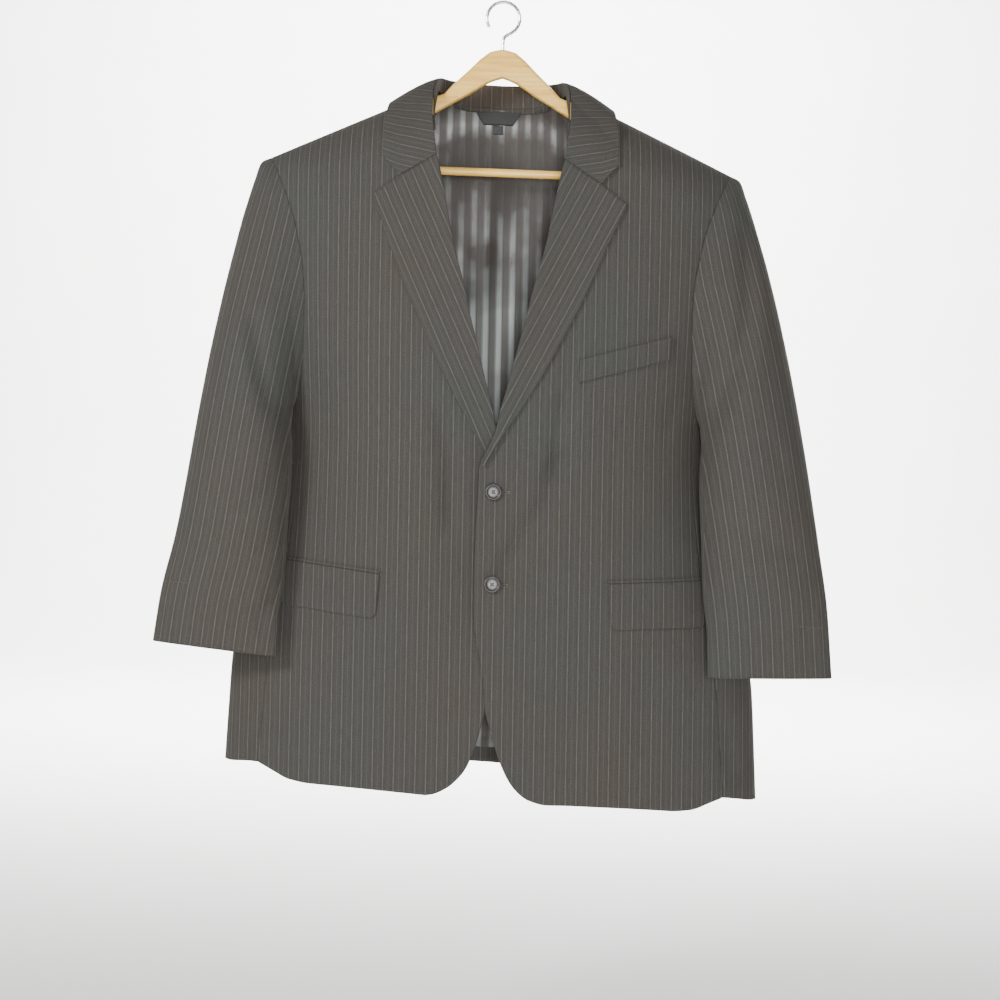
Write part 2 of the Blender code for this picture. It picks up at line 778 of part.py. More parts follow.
def collar_point(side, along, across):
    """A point of the collar leaf's outer face, from the roll to its edge."""
    along, across = np.broadcast_arrays(np.asarray(along, float), np.asarray(across, float))

    def place(name, at):
        axes = [read(COLLAR, f"{name}_{axis}", at, "along") for axis in ("x", "y", "down")]
        return np.stack(axes, -1)

    def curve(at):
        t = across[..., None]
        roll, bend, edge = (place(name, at) for name in ("roll", "bend", "edge"))
        return (1 - t) ** 2 * roll + 2 * t * (1 - t) * bend + t * t * edge

    ends = gorge_line(COLLAR_POINT)
    shares = np.concatenate([np.linspace(0, NOTCH_SHARE, GORGE_STEPS + 1),
                             np.linspace(NOTCH_SHARE, 1, NOTCH_STEPS + 1)[1:]])
    x = np.interp(across, shares, ends[:, 0])
    down = np.interp(across, shares, ends[:, 1])
    lift = LAPEL_GAP + LAPEL_WALL + ROLL_LIFT * np.exp(-((x - ends[0, 0]) / ROLL_REACH) ** 2)
    end = body_out("left", body_turn(x, down), down, lift) * (1, 1, -1)
    share = smooth_step((along - 0.7) / 0.3)[..., None]
    point = curve(along) + share * (end - curve(np.ones_like(along)))
    return point * (1, 1, -1)


def clear_of_body(points, lift):
    """Points kept at least a distance off the body's outer face."""
    x, y, down = points[..., 0], points[..., 1], -points[..., 2]
    below = down > crest(np.abs(x)) - 0.1
    front = body("left", body_turn(np.abs(x), down), down)[..., 1] - lift
    behind = body("left", body_turn(np.abs(x), down, behind=True), down)[..., 1] + lift
    ahead = y < read(BODY, "side_y", down)
    kept = np.where(ahead, np.minimum(y, front), np.maximum(y, behind))
    points = points.copy()
    points[..., 1] = np.where(below, kept, y)
    return points


def both_sides(half):
    """A grid whose rows start at the centre line, with its mirror image before it."""
    return np.concatenate([half[:0:-1] * (-1, 1, 1), half])


def make_collar():
    along = np.array([0, .12, .24, .34, .43, .51, .58, .64, .71, .79, .86, .92, .97, 1])
    across = np.concatenate([np.linspace(0, NOTCH_SHARE, GORGE_STEPS + 1),
                             np.linspace(NOTCH_SHARE, 1, NOTCH_STEPS + 1)[1:]])
    a, b = np.meshgrid(along, across, indexing="ij")
    surface = lambda p, q: collar_point("left", p, q)
    normal = -facing(surface, np.clip(a, .004, .996), np.clip(b, .02, .98), 0.004, 0.02)
    point = surface(a, b)
    turn = body_turn(point[..., 0], -point[..., 2])
    body_face = facing(lambda p, q: body("left", p, q), turn, -point[..., 2], 0.004, 1.0)
    share = smooth_step((a - 0.8) / 0.2)[..., None]
    normal = normal + share * (body_face - normal)
    outer = clear_of_body(point, LAPEL_WALL + LAPEL_GAP + COLLAR_CLEAR)
    inner = outer - normal * LAPEL_WALL
    cloth("collar_leaf", both_sides(outer), both_sides(inner))

    along = along[along <= COLLAR_END]
    across = np.linspace(0, 1, 4)
    a, b = np.meshgrid(along, across, indexing="ij")
    roll = np.stack([read(COLLAR, f"roll_{axis}", a, "along") for axis in ("x", "y", "down")], -1)
    seam = np.stack([read(NECK_SEAM, axis, a, "along") for axis in ("x", "y", "down")], -1)
    away = roll * (1, 1, 0) + (0, 5, 0)
    away = away / np.linalg.norm(away, axis=-1, keepdims=True)
    roll = roll - away * (WALL + 0.4)
    inside = (roll + (seam - roll) * b[..., None]) * (1, 1, -1)
    outside = inside + away * WALL
    cloth("collar_stand", both_sides(inside), both_sides(outside))


def laid_piece(name, side, x, down, wall, lift=LAID_ON_GAP, finish="cloth"):
    """A small piece that lies on a front, from its grid of x and down."""
    turn = body_turn(x, down)
    outer = body_out(side, turn, down, 0 * down + lift + wall)
    inner = body_out(side, turn, down, 0 * down + lift)
    return cloth(name, outer, inner, finish, mirrored=side == "right")


def make_pocket(side):
    corner = np.array([0, 1.0, 3.6, FLAP_CORNER])
    inner_x, outer_x = POCKET_X
    inner_down, outer_down = (level + FLAP_DROP[side] for level in POCKET_DOWN)
    length = outer_x - inner_x
    from_end = np.concatenate([corner, np.linspace(FLAP_CORNER, length - FLAP_CORNER, 7)[1:-1],
                               length - corner[::-1]])
    nearest = np.minimum(from_end, length - from_end)
    cut = FLAP_CORNER - np.sqrt(FLAP_CORNER ** 2 - np.clip(FLAP_CORNER - nearest, 0, None) ** 2)
    top_x = inner_x + from_end
    top_down = inner_down + from_end / length * (outer_down - inner_down)
    tall = np.linspace(0, 1, 6)[:, None] * (FLAP_TALL - cut)
    laid_piece(f"flap_{side}", side, top_x + FLAP_SLANT * tall, top_down + tall, WALL)
    strip = np.array([-JET_TALL, -SEAM_GAP])[:, None]
    x = np.linspace(inner_x - 1, outer_x + 1, 9)[None, :] + 0 * strip
    down = inner_down + (x - inner_x) / length * (outer_down - inner_down) + strip
    laid_piece(f"jet_{side}", side, x, down, JET_WALL)


def make_welt():
    share, tall = np.meshgrid(np.linspace(0, 1, 9), np.linspace(0, WELT_TALL, 4))
    x = WELT_X + WELT_LONG * share - WELT_SLANT * tall
    down = WELT_DOWN - WELT_RISE * share + tall
    laid_piece("breast_welt", "left", x, down, WALL, lift=WELT_GAP)


def make_lining():
    shares = np.linspace(-1, 1, 13)
    row, share = np.meshgrid(np.arange(len(LINING_ROWS["down"])), shares, indexing="ij")
    x = share * LINING_ROWS["half"][row]
    neckline = read(BACK_NECKLINE, "down", np.abs(x), "x") - BACK_NECKLINE["down"][0]
    down = LINING_ROWS["down"][row] + LINING_ROWS["neck"][row] * neckline + LINING_SEAM
    turn = body_turn(x, down, behind=True)
    depth = -WALL - LINING_GAP
    outer = body_out("left", turn, down, 0 * down + depth)
    inner = body_out("left", turn, down, 0 * down + depth - LINING_WALL)
    cloth("lining_back", outer, inner, "lining")
    for name, centre, top, half_top, half_low, tall, finish in (
            ("neck_label", -4.0, 103.5, 28.0, 18.0, 16.0, "label"),
            ("size_tag", -4.0, 120.3, 6.0, 6.0, 11.0, "tag")):
        drop, share = np.meshgrid(np.linspace(0, 1, 3), np.linspace(-1, 1, 7), indexing="ij")
        x = centre + share * (half_top + drop * (half_low - half_top))
        down = top + drop * tall
        turn = body_turn(x, down, behind=True)
        out = depth - LINING_WALL - LABEL_GAP
        face = body_out("left", turn, down, 0 * down + out)
        rear = body_out("left", turn, down, 0 * down + out - LABEL_WALL)
        cloth(name, face, rear, finish)


def make_buttons():
    for name, down in BUTTON_DOWNS.items():
        down_now, turn = np.array(down), body_turn(np.array(BUTTON_X), np.array(down))
        centre = hang(body_out("left", turn, down_now, np.array(BUTTON_GAP)))
        surface = lambda a, b: body("left", a, b)
        normal = Vector(facing(surface, turn, down_now, 0.004, 1.0))
        rim, dish, half = BUTTON_RADIUS, BUTTON_DISH, BUTTON_THICK
        outline = [(0, 0), (rim - 2.0, 0), (rim, half * 0.45), (rim - 0.5, half * 0.85), (rim - 1.6, half),
                   (dish + 0.6, half - 0.3), (dish, half - 1.0), (0, half - 1.1)]
        profile = bpy.data.meshes.new(f"button_{name}")
        points = [(x * MILLIMETRE, 0, z * MILLIMETRE) for x, z in reversed(outline)]
        profile.from_pydata(points, [(i, i + 1) for i in range(len(points) - 1)], [])
        item = add_object(f"button_{name}", profile, "button")
        screw = item.modifiers.new("turned", "SCREW")
        screw.steps = screw.render_steps = 18
        screw.use_merge_vertices = True
        screw.merge_threshold = 0.00005
        item.matrix_world = (Matrix.Translation(Vector(centre.tolist()))
                             @ normal.to_track_quat("Z", "Y").to_matrix().to_4x4())
        for place in range(4):
            angle = math.radians(45 + 90 * place)
            bore = bmesh.new()
            bmesh.ops.create_cone(bore, cap_ends=True, segments=8, radius1=THREAD_HOLE_RADIUS * MILLIMETRE,
                                  radius2=THREAD_HOLE_RADIUS * MILLIMETRE, depth=12 * MILLIMETRE)
            mesh = bpy.data.meshes.new(f"bore_{name}_{place}")
            bore.to_mesh(mesh)
            bore.free()
            cutter = bpy.data.objects.new(mesh.name, mesh)
            CUTTERS.objects.link(cutter)
            cutter.hide_render = True
            cutter.display_type = "WIRE"
            across, up = THREAD_HOLE_OUT * math.cos(angle), THREAD_HOLE_OUT * math.sin(angle)
            spot = Vector((across, up, 1.5)) * MILLIMETRE
            cutter.matrix_world = item.matrix_world @ Matrix.Translation(spot)
            cut = item.modifiers.new(f"thread_hole_{place}", "BOOLEAN")
            cut.object = cutter
            cut.operation = "DIFFERENCE"


def curve_mesh(name, curve, finish, matrix=Matrix()):
    """A curve turned into one closed mesh object."""
    holder = bpy.data.objects.new(name, curve)
    bpy.context.scene.collection.objects.link(holder)
    holder.matrix_world = matrix
    bpy.context.view_layer.update()
    evaluated = holder.evaluated_get(bpy.context.evaluated_depsgraph_get())
    mesh = bpy.data.meshes.new_from_object(evaluated)
    shape = bmesh.new()
    shape.from_mesh(mesh)
    bmesh.ops.remove_doubles(shape, verts=shape.verts, dist=0.00002)
    bmesh.ops.recalc_face_normals(shape, faces=shape.faces)
    shape.transform(holder.matrix_world)
    shape.to_mesh(mesh)
    shape.free()
    bpy.data.objects.remove(holder)
    mesh.name = name
    mesh.shade_smooth()
    mesh.set_sharp_from_angle(angle=math.radians(35))
    return add_object(name, mesh, finish)


def rod_cutter(name, radius, start, end):
    """A cylinder between two points, in millimetres, that cuts a hole."""
    start, end = Vector(start) * MILLIMETRE, Vector(end) * MILLIMETRE
    shape = bmesh.new()
    bmesh.ops.create_cone(shape, cap_ends=True, segments=20, radius1=radius * MILLIMETRE,
                          radius2=radius * MILLIMETRE, depth=(end - start).length)
    mesh = bpy.data.meshes.new(name)
    shape.to_mesh(mesh)
    shape.free()
    cutter = bpy.data.objects.new(name, mesh)
    CUTTERS.objects.link(cutter)
    cutter.hide_render = True
    cutter.display_type = "WIRE"
    cutter.matrix_world = (Matrix.Translation((start + end) / 2)
                           @ (end - start).to_track_quat("Z", "Y").to_matrix().to_4x4())
    return cutter


def poly_curve(name, points, cyclic, dimensions="3D"):
    curve = bpy.data.curves.new(name, "CURVE")
    curve.dimensions = dimensions
    spline = curve.splines.new("POLY")
    spline.points.add(len(points) - 1)
    for slot, point in zip(spline.points, points):
        slot.co = (*point, 1)
    spline.use_cyclic_u = cyclic
    return curve


def make_hanger():
    x = np.array([0, 8, 16, 28, 40, 60, 70, 80, 110, 145, 180, 214, 226, 232])
    top = read(ARMS, "top", x, "x")
    low = read(ARMS, "low", x, "x")
    upper = np.stack([x, 0 * x, -top], -1)
    lower = np.stack([x, 0 * x, -low], -1)[::-1]
    half = np.concatenate([upper, lower])
    outline = np.concatenate([half, (half * (-1, 1, 1))[::-1][1:-1]])
    outline = hang(outline)
    points = [(point[0], point[2], 0) for point in outline]
    curve = poly_curve("hanger_arms", points, True, "2D")
    curve.fill_mode = "BOTH"
    curve.bevel_depth = WOOD_EDGE_ROUND * MILLIMETRE
    curve.bevel_resolution = 1
    curve.extrude = (WOOD_THICK / 2 - WOOD_EDGE_ROUND) * MILLIMETRE
    curve.offset = -WOOD_EDGE_ROUND * MILLIMETRE
    arms = curve_mesh("hanger_arms", curve, "wood", Matrix.Rotation(math.pi / 2, 4, "X"))

    ends = hang(np.array([[-BAR_HALF, 0, -BAR_DOWN], [BAR_HALF, 0, -BAR_DOWN]])) / MILLIMETRE
    axis = (ends[1] - ends[0]) / np.linalg.norm(ends[1] - ends[0])
    shape = bmesh.new()
    bmesh.ops.create_cone(shape, cap_ends=True, segments=20, radius1=BAR_RADIUS * MILLIMETRE,
                          radius2=BAR_RADIUS * MILLIMETRE, depth=2 * BAR_HALF * MILLIMETRE)
    mesh = bpy.data.meshes.new("hanger_bar")
    shape.to_mesh(mesh)
    shape.free()
    mesh.shade_smooth()
    mesh.set_sharp_from_angle(angle=math.radians(35))
    bar = add_object("hanger_bar", mesh, "wood")
    middle = Vector(((ends[0] + ends[1]) / 2).tolist()) * MILLIMETRE
    bar.matrix_world = Matrix.Translation(middle) @ Vector(axis).to_track_quat("Z", "Y").to_matrix().to_4x4()

    wire_radius = HOOK_INNER_RADIUS + WIRE_RADIUS
    wood_top = -(ARMS["top"][0] + RAIL_TO_LEVEL)
    stem_low = wood_top - STEM_DEEP
    stem_high = wood_top + STEM_PROUD
    start = math.radians(HOOK_SWEEP[0])
    join = Vector((wire_radius * math.cos(start), wire_radius * math.sin(start) - HOOK_INNER_RADIUS))
    bend = []
    for t in (0.2, 0.4, 0.6, 0.8):
        lift, swing = Vector((0, 9)), Vector((-math.sin(start), math.cos(start))) * 9
        a, d = Vector((0, stem_high)), join
        b, c = a + lift, d - swing
        bend.append((1 - t) ** 3 * a + 3 * t * (1 - t) ** 2 * b + 3 * t * t * (1 - t) * c + t ** 3 * d)
    turn = [Vector((wire_radius * math.cos(angle), wire_radius * math.sin(angle) - HOOK_INNER_RADIUS))
            for angle in np.radians(np.linspace(*HOOK_SWEEP, 16))]
    stem = [Vector((0, level)) for level in np.linspace(stem_low, stem_high, 3).tolist()]
    path = stem + bend + turn
    curve = poly_curve("hanger_hook", [(p.x * MILLIMETRE, 0, p.y * MILLIMETRE) for p in path], False)
    curve.bevel_depth = WIRE_RADIUS * MILLIMETRE
    curve.bevel_resolution = 2
    curve.use_fill_caps = True
    curve_mesh("hanger_hook", curve, "steel")

    holes = [rod_cutter("hook_hole", WIRE_RADIUS + FIT_GAP, (0, 0, stem_low - 0.3), (0, 0, wood_top + 10))]
    for sign in (-1, 1):
        centre = (ends[0] + ends[1]) / 2
        near = centre + axis * sign * 150
        far = centre + axis * sign * (BAR_HALF + 0.3)
        holes.append(rod_cutter(f"bar_hole_{sign + 1}", BAR_RADIUS + FIT_GAP, near.tolist(), far.tolist()))
    for hole in holes:
        cut = arms.modifiers.new(hole.name, "BOOLEAN")
        cut.object = hole
        cut.operation = "DIFFERENCE"


def main():
    for side in ("left", "right"):
        make_front(side)
        make_side(side)
        make_back(side)
        make_sleeves(side)
        make_lapel(side)
        make_pocket(side)
    make_collar()
    make_welt()
    make_lining()
    make_buttons()
    make_hanger()


for old in list(bpy.data.objects):
    bpy.data.objects.remove(old)
PARTS = bpy.data.collections.new("suit_jacket")
CUTTERS = bpy.data.collections.new("cutters")
bpy.context.scene.collection.children.link(PARTS)
bpy.context.scene.collection.children.link(CUTTERS)
main()
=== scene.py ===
"""Two-button pinstriped suit jacket on its wooden hanger, dressed over its CAD frame.

Run it as a script in Blender 4.5. Lengths in the shape tables are millimetres in the
level drawing of the jacket, where down is how far a point lies below a level 20 mm
under the rail. hang() leans and scales them to the scene's metres.
"""

import math
from functools import partial

import bmesh
import bpy
import numpy as np
from bpy.props import FloatProperty, FloatVectorProperty, IntProperty, PointerProperty
from mathutils import Matrix, Vector


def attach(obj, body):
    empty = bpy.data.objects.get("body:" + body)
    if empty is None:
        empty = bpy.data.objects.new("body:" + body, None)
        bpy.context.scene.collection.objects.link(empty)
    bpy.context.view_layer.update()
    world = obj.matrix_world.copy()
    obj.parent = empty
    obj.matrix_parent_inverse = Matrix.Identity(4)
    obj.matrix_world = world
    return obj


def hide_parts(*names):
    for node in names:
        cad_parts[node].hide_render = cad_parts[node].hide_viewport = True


bl_info = {
    "name": "Pinstriped suit jacket",
    "version": (1, 0, 0),
    "blender": (4, 5, 0),
    "location": "View3D > Sidebar > Jacket",
    "description": "Cuts and dresses a two-button suit jacket on a wooden hanger",
    "category": "Object",
}

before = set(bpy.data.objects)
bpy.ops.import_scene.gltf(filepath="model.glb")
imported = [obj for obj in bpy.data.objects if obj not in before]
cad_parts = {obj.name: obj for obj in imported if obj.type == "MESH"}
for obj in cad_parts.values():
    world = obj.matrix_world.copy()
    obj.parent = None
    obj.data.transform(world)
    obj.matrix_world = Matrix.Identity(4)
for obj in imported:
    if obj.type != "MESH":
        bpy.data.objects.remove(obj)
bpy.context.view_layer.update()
BODY_NAME = "root"
CLOTH_MAP = "cloth_mm"
SUITING = "worsted suiting"
SATIN = "satin lining"
THREAD = "polyester thread"
SIDES = ("left", "right")
MIRROR = {"left": (1, 1, 1), "right": (-1, 1, 1)}
MILLIMETRE = 0.001

# Walls and gaps in millimetres, as in the frame's solids
RAIL_TO_LEVEL = 20.0
WALL = 2.0
LAPEL_WALL = 2.2
LINING_WALL = 1.0
LABEL_WALL = 0.7
SEAM_GAP = 0.34
LAID_ON_GAP = 0.5
LAPEL_GAP = 0.9
WELT_GAP = 0.8
BUTTON_GAP = 0.9
LINING_GAP = 2.0
LINING_SEAM = 0.6
LABEL_OUT = -(LINING_GAP + WALL) - LINING_WALL - 1.2
COLLAR_CLEAR = 1.2
# How far the sleeve stays off the body's side: by the armhole, and more further down. It is
# held off from a level down, over a reach, and from a share of the sleeve's length on
SLEEVE_CLEAR = 2.6
SLEEVE_CLEAR_LOW = 3.0
SLEEVE_CLEAR_DOWN = 390.0
SLEEVE_CLEAR_REACH = 40.0
SLEEVE_CLEAR_START = 0.012
SLEEVE_CLEAR_GROWN = 0.06
# The share of the sleeve over which its folds begin
SLEEVE_FOLDS_REACH = 0.1

# Neighbouring rims overlap by this much, so that no light shows through a seam
SEWN_GAP = -0.06
# How much of a cloth edge's thickness is rounded off, and the rows of turned-up hem
EDGE_ROUND = 0.16
HEM_ROWS = 5

# The steps of turn or of place along, and of millimetres or degrees, that slopes are taken over
FINE_STEP = 0.004
COARSE_STEP = 1.0
# Folds and ripples start below this level, and are full this much lower
FOLDS_START = 215.0
FOLDS_REACH = 60.0
# What makes the ripples of the back and the sleeves differ from the front's
BACK_SEED = 4
SLEEVE_SEED = 7
SLEEVE_BACK_SEED = 9

# The soft roll of the lapel and the collar where they turn over
ROLL_LIFT = 2.4
ROLL_REACH = 14.0
# (start, reach) along the collar where its form, its face and its stripes go over to those
# of the lapel
COLLAR_TO_GORGE = (0.7, 0.3)
COLLAR_TO_FACE = (0.8, 0.2)
COLLAR_TO_GRAIN = (0.45, 0.3)

SHOULDER_HALF = 276.0
SHOULDER_DOWN = 176.5
SHOULDER_SLOPE = 0.457
SHOULDER_ROUND = 65.0
NECK_FLAT_HALF = 50.0
NECK_POINT_X = 80.5
NECK_ALLOWANCE_HALF = 58.0
BACK_WAIST_ROW = 444.0

# The stripes: their lean on the sleeves in degrees, the roundness of a sleeve's fold, the share
# of the sleeve that its head takes, the cloth's way on the collar's ends, and how far from a
# seam the first stripe lies
SLEEVE_GRAIN = 10.8
SLEEVE_FOLD_ROUND = 26.0
SLEEVE_HEAD = 0.22
COLLAR_GRAIN = (0.27, 0.0, -0.963)
STRIPE_START = 3.0
SIDE_STRIPE_START = 4.0

# Buttons: the profile is (radius, height) from the middle of the underside to the dish
BUTTON_THICK = 3.4
BUTTON_X = -2.0
BUTTON_DOWNS = {"upper": 569.0, "lower": 678.4}
BUTTON_DISH = 2.3
BUTTON_PROFILE = [(0.0, 0.0), (7.0, 0.0), (8.6, 0.5), (9.7, 1.2), (10.0, 1.9), (9.85, 2.6), (9.4, 3.15),
                  (8.7, 3.4), (8.0, 3.3), (7.5, 2.95), (7.1, 2.55), (6.6, 2.35), (4.0, BUTTON_DISH),
                  (0.0, BUTTON_DISH)]
HOLE_RING = 1.9
HOLE_RADIUS = 0.9
BUTTONHOLE_LONG = 22.0
BUTTONHOLE_HALF = 1.1
BUTTONHOLE_REACH = 19.0

FLAP_TALL = 54.0
FLAP_CORNER = 8.0
FLAP_DROP = {"left": 0.0, "right": 5.0}
FLAP_SLANT = 0.09
POCKET_X = (135.0, 249.0)
POCKET_DOWN = (669.4, 660.0)
JET_TALL = 4.0
JET_WALL = 1.5
WELT_TALL = 27.0
WELT_LONG = 109.0
WELT_X = 97.0
WELT_DOWN = 408.9
WELT_RISE = 33.7
WELT_SLANT = 0.05
VENT_DOWN = 703.0
VENT_X = (362, 387)

# The rectangle that each panel is cut from, in metres, and the share added for turnings
CUTS = {
    "front": (0.37, 0.88), "side": (0.19, 0.50), "back": (0.31, 0.86), "topsleeve": (0.25, 0.66),
    "undersleeve": (0.19, 0.66), "lapel": (0.12, 0.42), "collar_leaf": (0.60, 0.12),
    "collar_stand": (0.42, 0.05), "flap": (0.118, 0.058), "jet": (0.118, 0.01),
    "breast_welt": (0.118, 0.03), "lining_back": (0.52, 0.82),
}
TURNINGS = 1.03

# Stitches: length and thread thickness in metres, slot and seed
STITCHES = {
    "buttonhole_stitches": (0.0017, 0.0006, "suiting", 11),
    "pocket_tacks": (0.0016, 0.00035, "suiting", 12),
    "label_stitches": (0.0013, 0.0003, "label", 13),
    "vent_stitches": (0.0024, 0.0005, "suiting", 14),
    "button_thread": (0.0046, 0.0006, "button", 15),
}
# How far the middle of a stitch lies out from the face: on the front, on the pockets' ends,
# and on the welt, the cuffs and the label
HOLE_STITCH_OUT = 0.25
TACK_OUT = 2.9
STITCH_OUT = 0.12
LABEL_STITCH_OUT = 0.2

# Woven tapes on the lining: node, slot, finish, level, half width at the top and at the
# bottom, and height
TAPE_X = -4.0
TAPES = {
    "neck_label_cloth": ("neck_label", "label", "woven label tape", 103.5, 28.0, 18.0, 16.0),
    "size_tag_cloth": ("size_tag", "tag", "woven size tape", 120.3, 6.0, 6.0, 11.0),
}

# The stage in metres: where the paper starts to rise and its bend, and the camera
WALL_START = 6.0
WALL_BEND = 1.5
PAPER_HALF = 14.0
PAPER_HIGH = 9.0
CAMERA_LENS = 71.7
CAMERA_PLACE = (0.0059, -2.4, -0.5982)
CAMERA_ROLL = 1.0
SENSOR_WIDTH = 36.0
# Soft round lights: place, what they are turned to, size, and their power in JacketStage
LIGHTS = {
    "key": ((-1.7, -1.75, 0.45), (0, 0, -0.5), 0.6, "key_power"),
    "fill": ((0.25, -2.9, -0.6), (0, 0, -0.5), 0.8, "fill_power"),
    "backdrop light": ((0, 3.2, 2.6), (0, WALL_START + WALL_BEND, -0.6), 3.0, "backdrop_power"),
    "back light": ((1.7, 2.4, 1.0), (0, 0, -0.5), 1.4, "back_power"),
}


def table(names, rows):
    """Rows of numbers as a dictionary of named columns."""
    return {name: np.array(column, float) for name, column in zip(names.split(), zip(*rows))}


# What makes the ripples of the two sides differ
SIDE_SEED = {"left": 0.0, "right": 1.7}

# The lean of the hang: how many degrees the wearer's left side drops
LEAN = table("down degrees", [
    (100, 1.2), (430, 1.8), (670, 2.6), (910, 3.4),
])

# Level sections of the body. half_width is to the side fold, side_y is that
# fold's place, front and back are the depths ahead of it and behind it, and
# the powers say how flat the front and the back are.
BODY = table("down half_width front back side_y front_power back_power", [
    (60, 300, 46, 36, 2, 3.0, 4.0), (130, 300, 52, 39, 2, 3.0, 4.0), (180, 300, 58, 41, 2, 3.0, 4.0),
    (260, 290, 67, 42, 6, 3.0, 4.0), (345, 275, 78, 36, 14, 3.0, 4.0), (430, 262, 86, 25, 24, 2.8, 4.0),
    (480, 255, 86, 17, 30, 2.5, 4.0), (514, 252, 84, 15, 31, 2.4, 4.0),
    (570, 258, 80, 13, 31, 2.4, 4.0), (615, 267, 79, 13, 30, 2.4, 4.0),
    (680, 287, 76, 15, 28, 2.4, 4.0), (740, 304, 72, 18, 24, 2.4, 4.0),
    (782, 315, 68, 22, 20, 2.4, 4.0), (850, 319, 68, 24, 18, 2.4, 4.0),
    (935, 323, 70, 26, 16, 2.4, 4.0),
])

# The armhole seam, round from the shoulder seam by the front. bearing is the
# angle round the sleeve and turn the angle round the body, both in degrees.
ARMHOLE = table("bearing turn down", [
    (0, 66.9, 176.5), (15, 63.2, 195), (30, 59.8, 222), (50, 56.9, 262), (70, 56.0, 305),
    (90, 57.1, 345), (110, 59.8, 390), (130, 63.0, 430), (147, 67.0, 458), (165, 72.5, 474),
    (180, 79.0, 480), (195, 91.0, 474), (210, 103.0, 455), (225, 112.0, 424), (245, 120.0, 375),
    (270, 124.0, 315), (295, 123.0, 262), (318, 119.5, 220), (340, 116.0, 192), (360, 113.1, 176.5),
])

# The sleeve: each ring's upper, outer point, its lower, inner point, its
# middle in y and its half depth. along is 0 at the armhole and 1 at the cuff.
SLEEVE = table("along top_x top_down low_x low_down mid_y depth", [
    (0.00, 276, 176.5, 249, 479, 6, 44), (0.03, 286, 182.5, 250, 488, 5, 47),
    (0.07, 292.5, 204, 248.0, 495, 3, 49), (0.12, 301, 236, 247.0, 503, 0, 51),
    (0.20, 315, 286, 246.0, 514, -5, 52), (0.30, 330.5, 350, 244.5, 530, -12, 52),
    (0.42, 346.5, 425, 244, 556, -18, 50), (0.55, 362.5, 512, 246, 606, -25, 45),
    (0.70, 379.5, 612, 248.5, 672, -33, 36), (0.85, 393.5, 690, 253.5, 726, -42, 22),
    (1.00, 401.5, 764, 254.5, 773, -47, 12),
])

# How far each sleeve's outer edge bows out, as the two do not hang quite alike
SLEEVE_BOW = table("along left right", [
    (0.00, 0, 0), (0.05, 3, 3), (0.13, 6.5, 4.5), (0.21, 7, 2.4), (0.51, 7, -2.4), (0.65, 6.5, -4.5),
    (0.75, 5, -5), (0.90, 1.5, -1.2), (1.00, 0, 0),
])
SLEEVE_JOIN = 0.30
SLEEVE_DROP = {"left": -2.0, "right": 8.0}
BACK_SEAM_BEARING = 310
FRONT_SEAM_BEARING = 165

# The edge that starts at the gorge and rolls down to the first button, then
# each front edge with its cut-away corner
ROLL_LINE = table("x down", [
    (75.5, 174.5), (65.5, 219), (53.7, 280), (42.5, 321), (34.0, 357), (23.5, 399), (13.0, 440.5),
    (4.0, 474), (0.0, 493), (-9.0, 516), (-19.0, 538),
])
NECK_EDGE = table("x down", [
    (80.5, 87.3), (84.0, 112), (84.0, 140), (79.5, 168),
])
FRONT_EDGE = {
    "left": table("x down", [
        (-20.6, 579), (-22.7, 627), (-23.3, 680), (-23.0, 712), (-19.0, 750), (-14.0, 773), (-9.8, 798),
        (-7.2, 828), (-0.8, 852), (5.0, 871), (11.5, 889), (20.0, 906), (31.0, 920), (46.0, 929.7),
        (66.0, 933.5),
    ]),
    "right": table("x down", [
        (-20.6, 579), (-22.7, 627), (-22.0, 680), (-18.0, 730), (-8.0, 780), (0.0, 806), (7.5, 830),
        (15.5, 861), (24.5, 888), (31.0, 901), (39.0, 911), (49.0, 920.5), (59.0, 926.8), (67.0, 930.4),
    ]),
}
LAPEL_POINT = (150.0, 224.6)
NOTCH = (118.6, 200.9)
LAPEL_EDGE = {
    "left": table("x down", [
        (150.0, 224.6), (124.8, 280), (97.0, 345), (74.0, 390), (51.5, 433), (26.0, 473.6), (5.5, 506),
        (-15.0, 540),
    ]),
    "right": table("x down", [
        (150.0, 224.6), (129.0, 284), (109.5, 335), (87.6, 382), (68.6, 423), (49.6, 458.6),
        (30.7, 491.8), (14.4, 522.7), (4.0, 541),
    ]),
}

# Seams down the body, and the hem
SIDE_SEAM = table("down x", [
    (458, 237.5), (514, 236.5), (570, 240), (655, 249), (720, 258), (782, 268), (908, 278.5),
])
BACK_SEAM_TURN = table("down turn", [
    (424, 112), (520, 114), (700, 116), (908, 118),
])
FRONT_HEM = table("x down", [
    (76, 932.5), (125, 931.5), (172, 931), (214, 931), (239, 928.5), (262, 919.5), (278.5, 912.5),
])
SIDE_HEM = table("turn down", [
    (59.5, 912.5), (66, 913.5), (78, 915.5), (90, 915.5), (104, 912), (118, 908),
])
BACK_HEM = table("x down", [
    (0, 899.5), (120, 900.5), (220, 903.5), (285, 908),
])
BACK_NECKLINE = table("x down", [
    (0, 101), (32, 100), (57, 96), (72, 91), (80.5, 87.3),
])

# The back lining, down from the neck: how far each row is under the neckline at the
# centre, its half width and how much it follows the neckline
LINING_ROWS = table("down half neck", [
    (101, 68, 1.0), (112, 76, 0.8), (130, 92, 0.4), (160, 140, 0.1), (200, 203, 0), (300, 208, 0),
    (420, 212, 0), (520, 214, 0), (640, 224, 0), (760, 238, 0), (880, 250, 0),
])

